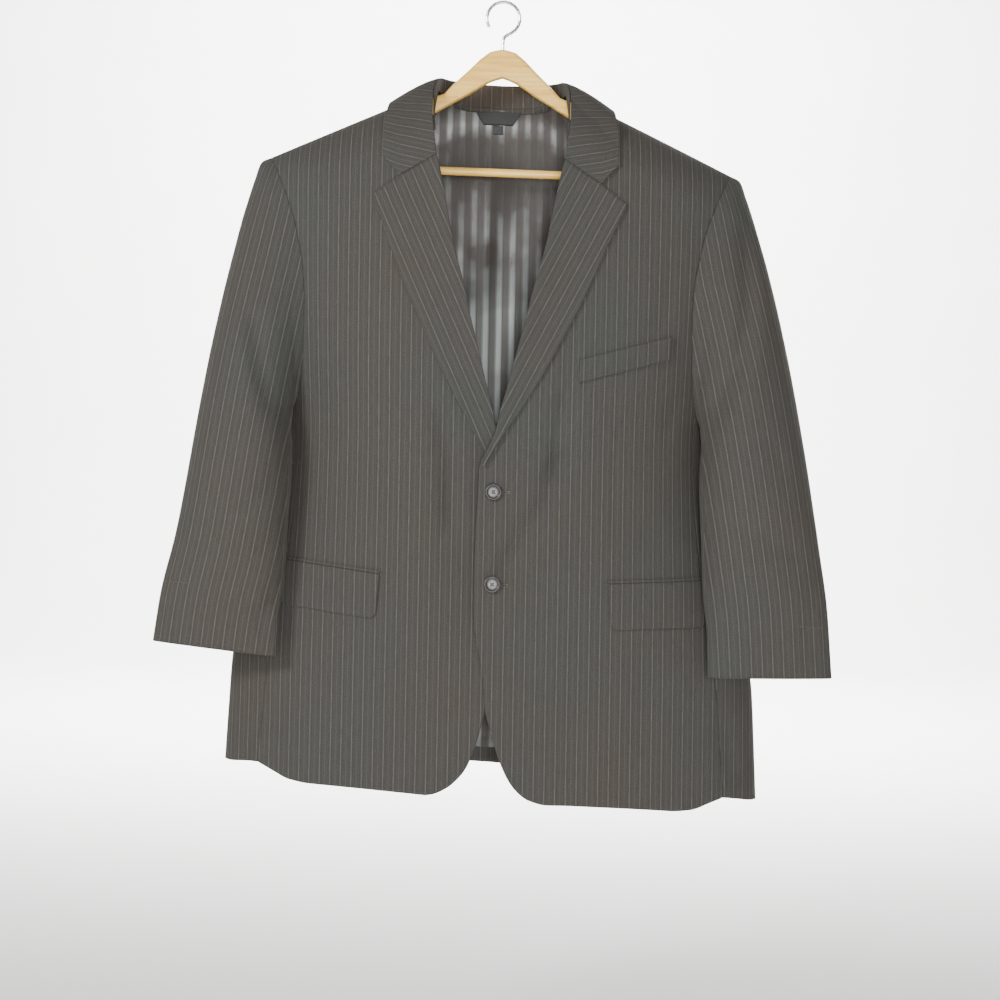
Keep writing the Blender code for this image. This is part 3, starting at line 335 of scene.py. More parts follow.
# The collar: the roll line, a point that shapes the fold, and the leaf's
# outer edge, from the centre back to the gorge
COLLAR = table("along roll_x roll_y roll_down bend_x bend_y bend_down edge_x edge_y edge_down", [
    (0.00, 0, 38, 71.7, 0, 48, 72, 0, 46, 117), (0.20, 32, 36.5, 71.3, 37, 47, 71.5, 48, 45, 116.5),
    (0.40, 59, 25, 70.8, 72, 34, 71, 97, 38, 112.5), (0.52, 73, 9, 71.0, 92, 14, 74, 124, 19, 106.5),
    (0.62, 78.5, -8, 76, 99, -9, 80, 133, -6, 105.5), (0.75, 82, -25, 94, 101, -32, 99, 137, -35, 121),
    (0.87, 81.5, -43, 124, 99, -53, 128, 139, -51, 146),
    (1.00, 75.5, -62, 174.5, 95, -64, 176, 139, -61, 179),
])
NECK_SEAM = table("along x y down", [
    (0.00, 0, 30, 101.4), (0.20, 31, 28.5, 100.4), (0.40, 56, 21.5, 96.3), (0.52, 71, 9, 91),
    (0.62, 75.5, -6, 89.5), (0.75, 77.5, -18, 101), (0.87, 79.5, -38, 129), (1.00, 75.0, -55, 170),
])
COLLAR_POINT = (139.0, 179.0)
NOTCH_SHARE = 0.63
COLLAR_END = 0.92

# Soft troughs pressed in the cloth: depth, half width and the route in front view
BODY_FOLDS = {
    "left": [
        (4.0, 11.0, [(80, 455), (73, 504), (74, 539)]),
        (6.5, 13.0, [(76, 528), (60, 580), (36, 614), (13, 661)]),
        (3.0, 11.0, [(278, 828), (291, 883)]),
    ],
    "right": [
        (4.5, 12.0, [(66, 490), (58, 530), (53, 612)]),
        (4.5, 11.0, [(295, 815), (296.6, 864), (292, 925)]), (3.0, 10.0, [(285, 835), (250, 866)]),
    ],
}
SLEEVE_FOLDS = {
    "left": [
        (6.5, 12.0, [(294, 250), (296, 346), (287, 394), (273, 419), (265, 448)]),
        (3.0, 11.0, [(262, 560), (300, 600), (352, 618)]),
    ],
    "right": [
        (5.0, 12.0, [(288, 380), (279, 440), (268, 480)]),
        (3.0, 12.0, [(262, 580), (300, 614), (346, 640)]), (3.0, 9.0, [(258, 712), (272, 742)]),
    ],
}
UNDER_FRONT = table("down depth", [
    (400, 0.0), (460, 7.5), (500, 9.5), (685, 9.5), (750, 3.8), (840, 3.4), (900, 1.0),
])
UNDER_START = 5.0
UNDER_REACH = 90.0

# Finer creases of the scene, on top of the frame's main folds: depth, half width and the
# route in front view. A crease fades at both ends and its far side is steeper.
FINE_FOLDS = {
    "left": [
        (0.9, 2.4, [(143, 486), (141, 550), (142, 612)]), (1.6, 9.0, [(92, 372), (86, 420), (77, 470)]),
        (1.2, 6.0, [(120, 520), (96, 560), (70, 596)]),
        (1.3, 12.0, [(206, 300), (196, 352), (176, 400)]),
        (1.1, 9.0, [(226, 420), (206, 470), (200, 540)]),
        (1.2, 14.0, [(182, 742), (186, 850), (180, 930)]),
        (1.0, 12.0, [(96, 740), (90, 840), (98, 926)]), (0.9, 6.0, [(262, 846), (284, 862)]),
        (-1.2, 8.0, [(60, 560), (42, 596), (26, 626)]),
    ],
    "right": [
        (0.9, 2.4, [(150, 482), (149, 540), (151, 600)]), (1.8, 8.0, [(56, 478), (52, 540), (55, 604)]),
        (1.3, 12.0, [(208, 296), (196, 356), (178, 404)]),
        (1.2, 9.0, [(226, 420), (208, 480), (202, 548)]),
        (1.2, 14.0, [(176, 740), (182, 846), (178, 930)]),
        (1.0, 12.0, [(96, 742), (90, 836), (96, 926)]),
        (1.3, 6.0, [(288, 850), (268, 862), (246, 872)]),
        (1.0, 5.0, [(292, 872), (274, 882), (256, 888)]),
    ],
}
BACK_FOLDS = {
    "left": [
        (2.6, 13.0, [(236, 318), (214, 386), (176, 462)]),
        (2.0, 11.0, [(240, 430), (222, 520), (210, 620)]),
        (1.6, 15.0, [(70, 300), (60, 380), (64, 470)]), (1.8, 12.0, [(34, 470), (28, 560), (36, 660)]),
        (2.4, 17.0, [(118, 730), (128, 830), (122, 930)]),
        (2.2, 14.0, [(208, 750), (220, 850), (214, 930)]),
        (1.6, 8.0, [(20, 500), (80, 514), (150, 500)]),
    ],
    "right": [
        (2.8, 12.0, [(238, 310), (212, 380), (170, 440)]),
        (1.8, 12.0, [(238, 440), (218, 520), (214, 640)]),
        (1.5, 14.0, [(96, 290), (84, 370), (88, 450)]), (1.7, 12.0, [(52, 480), (48, 570), (42, 650)]),
        (2.2, 16.0, [(84, 740), (92, 830), (86, 930)]),
        (2.4, 15.0, [(186, 740), (196, 850), (190, 930)]),
        (1.4, 8.0, [(24, 520), (90, 530), (160, 512)]),
    ],
}
FINE_SLEEVE_FOLDS = {
    "left": [
        (1.6, 5.0, [(258, 279), (272, 281), (288, 277)]),
        (1.8, 9.0, [(300, 470), (330, 500), (344, 540)]),
        (1.6, 8.0, [(262, 636), (292, 652), (330, 652)]),
        (1.3, 7.0, [(268, 690), (306, 706), (346, 700)]),
        (1.4, 10.0, [(330, 300), (332, 380), (322, 440)]),
        (1.2, 9.0, [(380, 640), (372, 700), (376, 750)]),
    ],
    "right": [
        (1.5, 6.0, [(264, 326), (282, 346), (300, 352)]),
        (1.8, 9.0, [(292, 470), (322, 506), (334, 548)]),
        (1.6, 8.0, [(260, 646), (290, 664), (328, 664)]),
        (1.5, 7.0, [(262, 716), (284, 730), (320, 730)]),
        (1.4, 10.0, [(330, 300), (334, 372), (326, 432)]),
        (1.0, 9.0, [(378, 650), (370, 706), (374, 752)]),
    ],
}
SLEEVE_BACK_FOLDS = {
    "left": [
        (2.6, 10.0, [(258, 566), (296, 560), (342, 520)]),
        (2.2, 9.0, [(256, 600), (300, 604), (350, 580)]),
        (1.8, 10.0, [(262, 480), (296, 460), (330, 410)]),
        (1.5, 9.0, [(280, 680), (320, 700), (366, 690)]),
        (1.6, 12.0, [(312, 300), (318, 370), (306, 430)]),
    ],
    "right": [
        (2.4, 10.0, [(258, 556), (294, 550), (338, 512)]),
        (2.4, 9.0, [(256, 596), (298, 602), (348, 584)]),
        (1.7, 10.0, [(262, 470), (294, 452), (328, 400)]),
        (1.5, 9.0, [(278, 690), (318, 704), (364, 700)]),
        (1.6, 12.0, [(310, 290), (316, 360), (304, 424)]),
    ],
}


def settings():
    """The add-on's settings for the jacket's form."""
    return bpy.context.scene.jacket_form


def paired(*values):
    """Arrays side by side in a new last axis."""
    return np.stack(np.broadcast_arrays(*values), -1)


def unit(vectors):
    """Vectors of the same ways, one long."""
    return vectors / np.linalg.norm(vectors, axis=-1, keepdims=True)


def through(knots, values, at):
    """A smooth curve through table rows, with no overshoot."""
    knots, values = np.asarray(knots, float), np.asarray(values, float)
    at = np.clip(np.asarray(at, float), knots[0], knots[-1])
    step = np.diff(knots)
    slope = np.diff(values) / step
    tangent = np.zeros(len(values))
    product = slope[1:] * slope[:-1]
    rising = product > 0
    tangent[1:-1][rising] = 2 * product[rising] / (slope[1:] + slope[:-1])[rising]
    tangent[0], tangent[-1] = slope[0], slope[-1]
    row = np.clip(np.searchsorted(knots, at, side="right") - 1, 0, len(step) - 1)
    t = (at - knots[row]) / step[row]
    return ((1 + 2 * t) * (1 - t) ** 2 * values[row]
            + t * (1 - t) ** 2 * step[row] * tangent[row]
            + t * t * (3 - 2 * t) * values[row + 1]
            + t * t * (t - 1) * step[row] * tangent[row + 1])


def read(rows, column, at, key="down"):
    """A column of a table, at any value of its key column."""
    return through(rows[key], rows[column], at)


def smooth_step(value, start=0.0, reach=1.0):
    """From 0 at the start to 1 a reach further on."""
    value = np.clip((value - start) / reach, 0.0, 1.0)
    return value * value * (3 - 2 * value)


def nearest_to(route, x, down):
    """How far each place is from a route, on which side of it and how far along it."""
    shape = np.broadcast(x, down).shape
    nearest, side, share = np.full(shape, 1e9), np.zeros(shape), np.zeros(shape)
    for step, ((x0, down0), (x1, down1)) in enumerate(zip(route, route[1:])):
        dx, dd = x1 - x0, down1 - down0
        part = np.clip(((x - x0) * dx + (down - down0) * dd) / (dx * dx + dd * dd), 0, 1)
        apart = np.hypot(x - x0 - part * dx, down - down0 - part * dd)
        closer = apart < nearest
        nearest = np.where(closer, apart, nearest)
        side = np.where(closer, (x - x0) * dd - (down - down0) * dx, side)
        share = np.where(closer, (step + part) / (len(route) - 1), share)
    return nearest, side, share


def trough(folds, x, down):
    """How deep the frame's own folds press the cloth in."""
    return sum(depth * np.exp(-(nearest_to(route, x, down)[0] / half_width) ** 2)
               for depth, half_width, route in folds)


def crease(folds, x, down):
    """How deep the finer creases press in: uneven, faded at the ends and steeper on one side."""
    total = 0
    for depth, half_width, route in folds:
        nearest, side, share = nearest_to(route, x, down)
        width = half_width * np.where(side > 0, 0.75, 1.25)
        fade = 0.15 + 0.85 * np.sin(np.pi * share) ** 0.7
        total = total + depth * fade * np.exp(-(nearest / width) ** 2)
    return total * settings().fold_strength


def ripple(x, down, seed):
    """The slight unevenness of hung cloth, well under a millimetre."""
    wave = (0.32 * np.sin(x / 27 + 1.4 * np.sin(down / 71 + seed) + seed)
            + 0.26 * np.sin((x + 0.7 * down) / 41 + 2.1 * seed)
            + 0.16 * np.sin((x - 1.3 * down) / 17 + 0.9 * np.sin(x / 33) + 3.3 * seed))
    return wave * settings().fold_strength


def crest(x):
    """How far down the shoulder line is."""
    reach = np.maximum(np.abs(x), NECK_FLAT_HALF)
    return SHOULDER_DOWN + SHOULDER_SLOPE * (reach - SHOULDER_HALF)


def depths(sine, down):
    """How far the front and the back stand off the level of the side folds."""
    return [read(BODY, face, down) * np.sqrt(1 - sine ** read(BODY, face + "_power", down))
            for face in ("front", "back")]


def body(side, turn, down):
    """A point of the body's outer face. turn is 0 in front, 90 degrees at the
    side fold and 180 behind. Above the shoulder line it goes over to the other
    face, so the surface runs on across the shoulder seam."""
    turn, down = np.broadcast_arrays(np.asarray(turn, float), np.asarray(down, float))
    x = read(BODY, "half_width", down) * np.sin(turn)
    top = crest(x)
    over = down < top
    behind = (np.cos(turn) < 0) ^ over
    down = np.where(over, 2 * top - down, down)
    rise = np.clip((down - top) / SHOULDER_ROUND, 0, 1)
    full = np.sqrt(1 - (1 - rise) ** 2)
    sine = np.clip(np.abs(np.sin(turn)), 0, 1)
    ahead, back = depths(sine, down)
    press = (trough(BODY_FOLDS[side], x, down) + crease(FINE_FOLDS[side], x, down)
             + ripple(x, down, SIDE_SEED[side]))
    rear_press = crease(BACK_FOLDS[side], x, down) + ripple(x, down, SIDE_SEED[side] + BACK_SEED)
    folded = smooth_step(down, FOLDS_START, FOLDS_REACH)
    if side == "right":
        press = press + read(UNDER_FRONT, "depth", down) * (1 - smooth_step(x, UNDER_START, UNDER_REACH))
    back = back - rear_press * folded * (1 - sine ** 8)
    ahead = ahead - press * folded * (1 - sine ** 20)
    return paired(x, read(BODY, "side_y", down) + full * np.where(behind, back, -ahead), -down)


def facing(surface, a, b, step_a=FINE_STEP, step_b=COARSE_STEP):
    """Unit normals of a surface of two values, facing out."""
    along_a = surface(a + step_a, b) - surface(a - step_a, b)
    along_b = surface(a, b + step_b) - surface(a, b - step_b)
    return unit(np.cross(along_b, along_a))


def moved_out(surface, a, b, out):
    """Points of a surface moved out by a distance."""
    return surface(a, b) + facing(surface, a, b) * np.asarray(out)[..., None]


def body_out(side, turn, down, out):
    """Points of the body's face moved out by a distance."""
    return moved_out(partial(body, side), turn, down, out)


def body_turn(x, down, behind=False):
    """The turn round the body of a place given in front view, ahead or behind."""
    turn = np.arcsin(np.clip(x / read(BODY, "half_width", down), -1, 1))
    return np.pi - turn if behind else turn


def on_body(x, down, behind=False):
    """(turn, down) rows of places given in front view."""
    return paired(body_turn(x, down, behind), down)


def side_of_body(y, down):
    """How far out the body reaches at a given y."""
    reach = []
    for face, sign in (("front", -1), ("back", 1)):
        share = np.clip(sign * (y - read(BODY, "side_y", down)) / read(BODY, face, down), 0, 1)
        reach.append((1 - share ** 2) ** (1 / read(BODY, face + "_power", down)))
    return read(BODY, "half_width", down) * np.minimum(*reach)


def armhole(bearing):
    """The turn and the level of the armhole seam round the sleeve."""
    return np.radians(read(ARMHOLE, "turn", bearing, "bearing")), read(ARMHOLE, "down", bearing, "bearing")


def sleeve(side, along, bearing):
    """A point of the sleeve's outer face. bearing is 0 outside, 90 degrees in
    front and 180 at the underarm. The first rings keep the armhole's form."""
    along, bearing = np.broadcast_arrays(np.asarray(along, float), np.asarray(bearing, float))
    angle = np.radians(bearing)
    at = np.clip(along, 0, 1)

    def ring(share):
        row = {name: read(SLEEVE, name, share, "along") for name in SLEEVE if name != "along"}
        across = np.cos(angle)
        x = (row["top_x"] + row["low_x"]) / 2 + across * (row["top_x"] - row["low_x"]) / 2
        down = (row["top_down"] + row["low_down"]) / 2 + across * (row["top_down"] - row["low_down"]) / 2
        return paired(x, row["mid_y"] - np.sin(angle) * row["depth"], -down)

    seam = body(side, *armhole(np.mod(bearing, 360)))
    keep = (1 - np.clip(at / SLEEVE_JOIN, 0, 1)) ** 2
    point = ring(at) + keep[..., None] * (seam - ring(np.zeros_like(at)))
    point[..., 0] += read(SLEEVE_BOW, side, at, "along") * (1 + np.cos(angle)) / 2
    point[..., 2] -= SLEEVE_DROP[side] * smooth_step(at)
    down = -point[..., 2]
    least = (side_of_body(point[..., 1], down) + SLEEVE_CLEAR
             + SLEEVE_CLEAR_LOW * smooth_step(at, 0, SLEEVE_CLEAR_GROWN))
    push = np.maximum(least - point[..., 0], 0) * smooth_step(at, 0, SLEEVE_CLEAR_START)
    point[..., 0] += push * smooth_step(down, SLEEVE_CLEAR_DOWN, SLEEVE_CLEAR_REACH)
    x = point[..., 0]
    press = (trough(SLEEVE_FOLDS[side], x, down) + crease(FINE_SLEEVE_FOLDS[side], x, down)
             + ripple(x, down, SIDE_SEED[side] + SLEEVE_SEED))
    rear_press = (crease(SLEEVE_BACK_FOLDS[side], x, down)
                  + ripple(x, down, SIDE_SEED[side] + SLEEVE_BACK_SEED))
    front = smooth_step(np.sin(angle) * 2 + 0.2)
    rear = smooth_step(-np.sin(angle) * 2 - 0.2)
    point[..., 1] += (press * front - rear_press * rear) * smooth_step(at, 0, SLEEVE_FOLDS_REACH)
    return point


def smooth_line(*tables):
    """A smooth line through (x, down) rows, and its whole length."""
    x, down = (np.concatenate([rows[name] for rows in tables]) for name in ("x", "down"))
    length = np.concatenate([[0], np.cumsum(np.hypot(np.diff(x), np.diff(down)))])
    return (lambda at: paired(through(length, x, at), through(length, down, at))), length[-1]


def patch(top, bottom, left, right):
    """A grid filled in between its four edges, each a list of points."""
    u = np.linspace(0, 1, len(top))[None, :, None]
    v = np.linspace(0, 1, len(left))[:, None, None]
    across = (1 - v) * top[None] + v * bottom[None]
    along = (1 - u) * left[:, None] + u * right[:, None]
    corners = ((1 - u) * (1 - v) * top[0] + u * (1 - v) * top[-1]
               + (1 - u) * v * bottom[0] + u * v * bottom[-1])
    return across + along - corners


def hang(points, side="left"):
    """From the level drawing of the wearer's left side to the place on the hanger, in metres."""
    points = np.array(points, float) * MIRROR[side]
    down = -points[..., 2]
    points[..., 2] -= RAIL_TO_LEVEL + points[..., 0] * np.tan(np.radians(read(LEAN, "degrees", down)))
    return points * MILLIMETRE


# Where the grids are sampled: bearings round the armhole, and rows down the side seams
FRONT_ARM = np.array([0, 3, 9, 18, 30, 45, 62, 80, 98, 116, 132, 147])
UNDER_ARM = np.array([147, 159, 170, 181, 193, 208, 225])
BACK_ARM = np.array([360, 356, 348, 335, 318, 300, 280, 260, 242, 225])
SIDE_ROWS = [0, .11, .22, .33, .44, .55, .65, .74, .82, .885, .935, .972, 1]
SLEEVE_ROWS = [0, .02, .045, .08, .13, .2, .3, .41, .53, .65, .77, .89, 1]
COLLAR_ROWS = [0, .12, .24, .34, .43, .51, .58, .64, .71, .79, .86, .92, .97, 1]
FRONT_COLUMNS = 17
BACK_COLUMNS = 10
LAPEL_ROWS = 14
LINING_FINENESS = 8
LINING_COLUMNS = 161
TAPE_ROWS = 9
TAPE_COLUMNS = 33
EDGE_SAMPLES = 4000
GORGE_STEPS = 5
NOTCH_STEPS = 3
NOTCH_SHARES = np.concatenate([np.linspace(0, NOTCH_SHARE, GORGE_STEPS + 1),
                               np.linspace(NOTCH_SHARE, 1, NOTCH_STEPS + 1)[1:]])


def finer(values, times):
    """A list of numbers with in-between values added."""
    values = np.asarray(values, float)
    return np.interp(np.linspace(0, len(values) - 1, (len(values) - 1) * times + 1),
                     np.arange(len(values)), values)


def side_seam(share):
    """(turn, down) rows of the seam between a front and its side body."""
    down = SIDE_SEAM["down"][0] + share * (FRONT_HEM["down"][-1] - SIDE_SEAM["down"][0])
    return on_body(read(SIDE_SEAM, "x", down), down)


def back_seam(share):
    """(turn, down) rows of the seam between a side body and its back."""
    down = BACK_SEAM_TURN["down"][0] + share * (SIDE_HEM["down"][-1] - BACK_SEAM_TURN["down"][0])
    return paired(np.radians(read(BACK_SEAM_TURN, "turn", down)), down)


def gorge_line(end):
    """(x, down) points along the gorge seam to the notch, then to a tip."""
    start = np.array([ROLL_LINE["x"][0], ROLL_LINE["down"][0]])
    notch, tip = np.array(NOTCH), np.array(end)
    seam = start + np.linspace(0, 1, GORGE_STEPS + 1)[:, None] * (notch - start)
    edge = notch + np.linspace(0, 1, NOTCH_STEPS + 1)[1:, None] * (tip - notch)
    return np.concatenate([seam, edge])


def line_at(rows, along, name=""):
    """A point of a named line of the collar."""
    return paired(*(read(rows, name + axis, along, "along") for axis in ("x", "y", "down")))


def collar_point(along, across):
    """A point of the collar leaf's outer face, from the roll to its edge."""
    along, across = np.broadcast_arrays(np.asarray(along, float), np.asarray(across, float))

    def curve(at):
        t = across[..., None]
        roll, bend, edge = (line_at(COLLAR, at, name) for name in ("roll_", "bend_", "edge_"))
        return (1 - t) ** 2 * roll + 2 * t * (1 - t) * bend + t * t * edge

    ends = gorge_line(COLLAR_POINT)
    x = np.interp(across, NOTCH_SHARES, ends[:, 0])
    down = np.interp(across, NOTCH_SHARES, ends[:, 1])
    lift = LAPEL_GAP + LAPEL_WALL + ROLL_LIFT * np.exp(-((x - ends[0, 0]) / ROLL_REACH) ** 2)
    end = body_out("left", body_turn(x, down), down, lift) * (1, 1, -1)
    share = smooth_step(along, *COLLAR_TO_GORGE)[..., None]
    point = curve(along) + share * (end - curve(np.ones_like(along)))
    return point * (1, 1, -1)


def clear_of_body(points, lift):
    """Points kept at least a distance off the body's outer face."""
    x, y, down = np.abs(points[..., 0]), points[..., 1], -points[..., 2]
    front = body("left", body_turn(x, down), down)[..., 1] - lift
    behind = body("left", body_turn(x, down, behind=True), down)[..., 1] + lift
    kept = np.where(y < read(BODY, "side_y", down), np.minimum(y, front), np.maximum(y, behind))
    points = points.copy()
    points[..., 1] = np.where(down > crest(x) - 0.1, kept, y)
    return points


def both_sides(half, sign=(-1, 1, 1)):
    """A grid whose rows start at the centre line, with its mirror image before it."""
    return np.concatenate([half[:0:-1] * sign, half])


GIRTH_DOWNS = np.linspace(60, 935, 71)
GIRTH_TURNS = np.radians(np.linspace(0, 180, 181))


def girth_table():
    """How far round the smooth body each turn is, at each level."""
    turn, down = np.meshgrid(GIRTH_TURNS, GIRTH_DOWNS)
    sine = np.clip(np.sin(turn), 0, 1)
    ahead, back = depths(sine, down)
    x = read(BODY, "half_width", down) * sine
    y = np.where(np.cos(turn) < 0, back, -ahead)
    steps = np.hypot(np.diff(x, axis=1), np.diff(y, axis=1))
    return np.concatenate([np.zeros((len(GIRTH_DOWNS), 1)), np.cumsum(steps, axis=1)], axis=1)


GIRTHS = girth_table()


def girth(turn, down):
    """Millimetres round the body from the centre front, along the level."""
    turn, down = np.broadcast_arrays(np.asarray(turn, float), np.asarray(down, float))
    row = np.clip((down - GIRTH_DOWNS[0]) / (GIRTH_DOWNS[1] - GIRTH_DOWNS[0]), 0, len(GIRTH_DOWNS) - 1.001)
    column = np.clip(np.abs(turn) / (GIRTH_TURNS[1] - GIRTH_TURNS[0]), 0, len(GIRTH_TURNS) - 1.001)
    i, j = row.astype(int), column.astype(int)
    a, b = row - i, column - j
    value = ((1 - a) * (1 - b) * GIRTHS[i, j] + (1 - a) * b * GIRTHS[i, j + 1]
             + a * (1 - b) * GIRTHS[i + 1, j] + a * b * GIRTHS[i + 1, j + 1])
    return np.sign(turn) * value


def placed(name, data):
    """A new object of the scene, at the origin."""
    item = bpy.data.objects.new(name, data)
    bpy.context.scene.collection.objects.link(item)
    return item


def drawn_in(grid, by):
    """The grid with its four edges moved in by a distance."""
    grid = grid.copy()
    for edge, inner in ((0, 1), (-1, -2)):
        for view in (grid, grid.swapaxes(0, 1)):
            view[edge] += unit(view[inner] - view[edge]) * by
    return grid


def quads_of(index):
    """The faces between the rows and columns of a grid of point numbers."""
    corners = (index[:-1, :-1], index[:-1, 1:], index[1:, 1:], index[1:, :-1])
    return np.stack(corners, -1).reshape(-1, 4)


def shell(name, outer, inner, across, along, side="left", finish=SUITING, back_finish=SUITING,
          facing_to=0, hem_rows=0):
    """A thin closed shell between two grids, with rounded edges. across and along are its
    place in the flat cloth in millimetres, for the stripes. The back is faced with suiting
    up to the column facing_to and in the last hem_rows."""
    round_by = float(np.linalg.norm(outer - inner, axis=-1).mean()) * EDGE_ROUND
    rim = drawn_in((outer + inner) / 2, SEWN_GAP / 2)
    outer, inner = drawn_in(outer, SEWN_GAP / 2 + round_by), drawn_in(inner, SEWN_GAP / 2 + round_by)
    rows, columns = outer.shape[:2]
    back = rows * columns
    index = np.arange(back).reshape(rows, columns)
    ring = np.concatenate([index[0, :-1], index[:-1, -1], index[-1, :0:-1], index[:0:-1, 0]])
    points = np.concatenate([outer.reshape(-1, 3), inner.reshape(-1, 3), rim.reshape(-1, 3)[ring]])
    flat_map = paired(across, along).reshape(-1, 2)
    maps = np.concatenate([flat_map, flat_map, flat_map[ring]])
    front_faces = quads_of(index)
    middle = 2 * back + np.arange(len(ring))
    following, middle_next = np.roll(ring, -1), np.roll(middle, -1)
    faces = np.concatenate([front_faces, front_faces[:, ::-1] + back,
                            paired(following, ring, middle, middle_next),
                            paired(middle_next, middle, ring + back, following + back)])
    slots = np.zeros(len(faces), dtype=np.int32)
    if back_finish != finish:
        row, column = np.divmod(np.arange(len(front_faces)), columns - 1)
        slots[len(front_faces):2 * len(front_faces)] = (column >= facing_to) & (row < rows - 1 - hem_rows)
    mesh = bpy.data.meshes.new(name)
    mesh.from_pydata(hang(points, side).tolist(), [], faces.tolist())
    for material_name in dict.fromkeys((finish, back_finish)):
        mesh.materials.append(bpy.data.materials[material_name])
    mesh.polygons.foreach_set("material_index", slots)
    layer = mesh.uv_layers.new(name=CLOTH_MAP)
    corner_points = np.empty(len(mesh.loops), dtype=np.int32)
    mesh.loops.foreach_get("vertex_index", corner_points)
    layer.data.foreach_set("uv", maps[corner_points].astype(np.float32).ravel())
    shape = bmesh.new()
    shape.from_mesh(mesh)
    bmesh.ops.recalc_face_normals(shape, faces=shape.faces)
    shape.to_mesh(mesh)
    shape.free()
    mesh.shade_smooth()
    return placed(name, mesh)


def declare(piece, node_name, slot, flat=None, area=None, held="hung", rests_on=()):
    """Hangs a piece on the body and hides the frame's node that it stands for. What it rests on, how it is
    held, its slot and how a sheet was cut are not used.
    """
    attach(piece, BODY_NAME)
    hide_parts(node_name)


def cut_of(piece, kind):
    """Flat size and area of a panel: half of the closed shell's surface, with turnings."""
    width, length = CUTS[kind]
    area = min(sum(face.area for face in piece.data.polygons) / 2 * TURNINGS, width * length)
    return {"flat": (width, length), "area": max(area, 0.3 * width * length)}


def body_panel(name, side, edges, facing_to=0, centre=0.0, from_back=False):
    """A panel of the body between its top, bottom, left and right edges."""
    turn, down = np.moveaxis(patch(*edges), -1, 0)
    outer, inner = (body_out(side, turn, down, -depth) for depth in (0, WALL))
    across = girth(turn, down)
    if from_back:
        across = girth(np.full_like(turn, np.pi), down) - across
    return shell(name, outer, inner, across - centre, down, side, back_finish=SATIN,
                 facing_to=facing_to, hem_rows=HEM_ROWS)


def make_front(side):
    """A front: shoulder on top, armhole and side seam outside, roll line and front edge inside."""
    fine = settings().fineness
    rows, columns = finer(SIDE_ROWS, fine), (FRONT_COLUMNS - 1) * fine + 1
    seam_x = np.linspace(NECK_POINT_X, SHOULDER_HALF, columns)
    top = on_body(seam_x, crest(seam_x))
    arm = paired(*armhole(finer(FRONT_ARM, fine)))
    right = np.concatenate([arm[:-1], side_seam(rows)])
    hem_start = {name: FRONT_HEM[name][:1] for name in ("x", "down")}
    edge, length = smooth_line(NECK_EDGE, ROLL_LINE, FRONT_EDGE[side], hem_start)
    places = np.linspace(0, length, EDGE_SAMPLES)
    level = edge(places)[:, 1]
    arm_share = (arm[:-1, 1] - arm[0, 1]) / (arm[-1, 1] - arm[0, 1])
    waist_down = SIDE_SEAM["down"][0]
    upper = np.interp(top[0, 1] + arm_share * (waist_down - top[0, 1]), level, places)
    waist = np.interp(waist_down, level, places)
    points = edge(np.concatenate([upper, waist + rows * (length - waist)]))
    left = on_body(points[:, 0], points[:, 1])
    hem_x = np.linspace(FRONT_HEM["x"][0], FRONT_HEM["x"][-1], columns)
    bottom = on_body(hem_x, read(FRONT_HEM, "down", hem_x, "x"))
    top[0], bottom[0], bottom[-1] = left[0], left[-1], right[-1]
    piece = body_panel(f"front_cloth_{side}", side, (top, bottom, left, right), facing_to=5 * fine)
    declare(piece, f"front_{side}", "suiting", held="hung", rests_on=["hanger_arms"],
            **cut_of(piece, "front"))


def make_side(side):
    """A side body, between the front's side seam and the back, under the armhole."""
    fine = settings().fineness
    rows = finer(SIDE_ROWS, fine)
    top = paired(*armhole(finer(UNDER_ARM, fine)))
    left, right = side_seam(rows), back_seam(rows)
    turn = np.linspace(SIDE_HEM["turn"][0], SIDE_HEM["turn"][-1], len(top))
    bottom = paired(np.radians(turn), read(SIDE_HEM, "down", turn, "turn"))
    left[0], right[0] = top[0], top[-1]
    bottom[0], bottom[-1] = left[-1], right[-1]
    piece = body_panel(f"side_cloth_{side}", side, (top, bottom, left, right), centre=SIDE_STRIPE_START)
    declare(piece, f"side_{side}", "suiting", held="hung", rests_on=[f"front_cloth_{side}"],
            **cut_of(piece, "side"))


def make_back(side):
    """A half of the back, from the centre seam to the armhole and the side body."""
    fine = settings().fineness
    neck_x = finer([0, 22, 43, 62, NECK_POINT_X], fine)
    seam_x = finer(np.linspace(NECK_POINT_X, SHOULDER_HALF, BACK_COLUMNS - 4), fine)[1:]
    down = np.concatenate([read(BACK_NECKLINE, "down", neck_x, "x"), crest(seam_x)])
    top = on_body(np.concatenate([neck_x, seam_x]), down, behind=True)[::-1]
    arm = paired(*armhole(finer(BACK_ARM, fine)))[:-1]
    left = np.concatenate([arm, back_seam(finer(SIDE_ROWS, fine))])
    centre = np.interp(np.arange(len(left)), [0, len(arm), len(left) - 1],
                       [top[-1, 1], BACK_WAIST_ROW, BACK_HEM["down"][0]])
    right = paired(np.pi, centre)
    edge_x = read(BODY, "half_width", left[-1, 1]) * np.sin(left[-1, 0])
    hem_x = np.linspace(edge_x, 0, len(top))
    bottom = on_body(hem_x, read(BACK_HEM, "down", hem_x, "x"), behind=True)
    left[0], bottom[0], bottom[-1] = top[0], left[-1], right[-1]
    piece = body_panel(f"back_cloth_{side}", side, (top, bottom, left, right), from_back=True)
    declare(piece, f"back_{side}", "suiting", held="hung", rests_on=["hanger_arms"], **cut_of(piece, "back"))


def round_fold(apart):
    """Cloth length from a fold to a place seen that far from it, on a soft fold."""
    inside = np.clip(apart / SLEEVE_FOLD_ROUND, 0, 1)
    return SLEEVE_FOLD_ROUND * np.arccos(1 - inside) + np.maximum(apart - SLEEVE_FOLD_ROUND, 0)


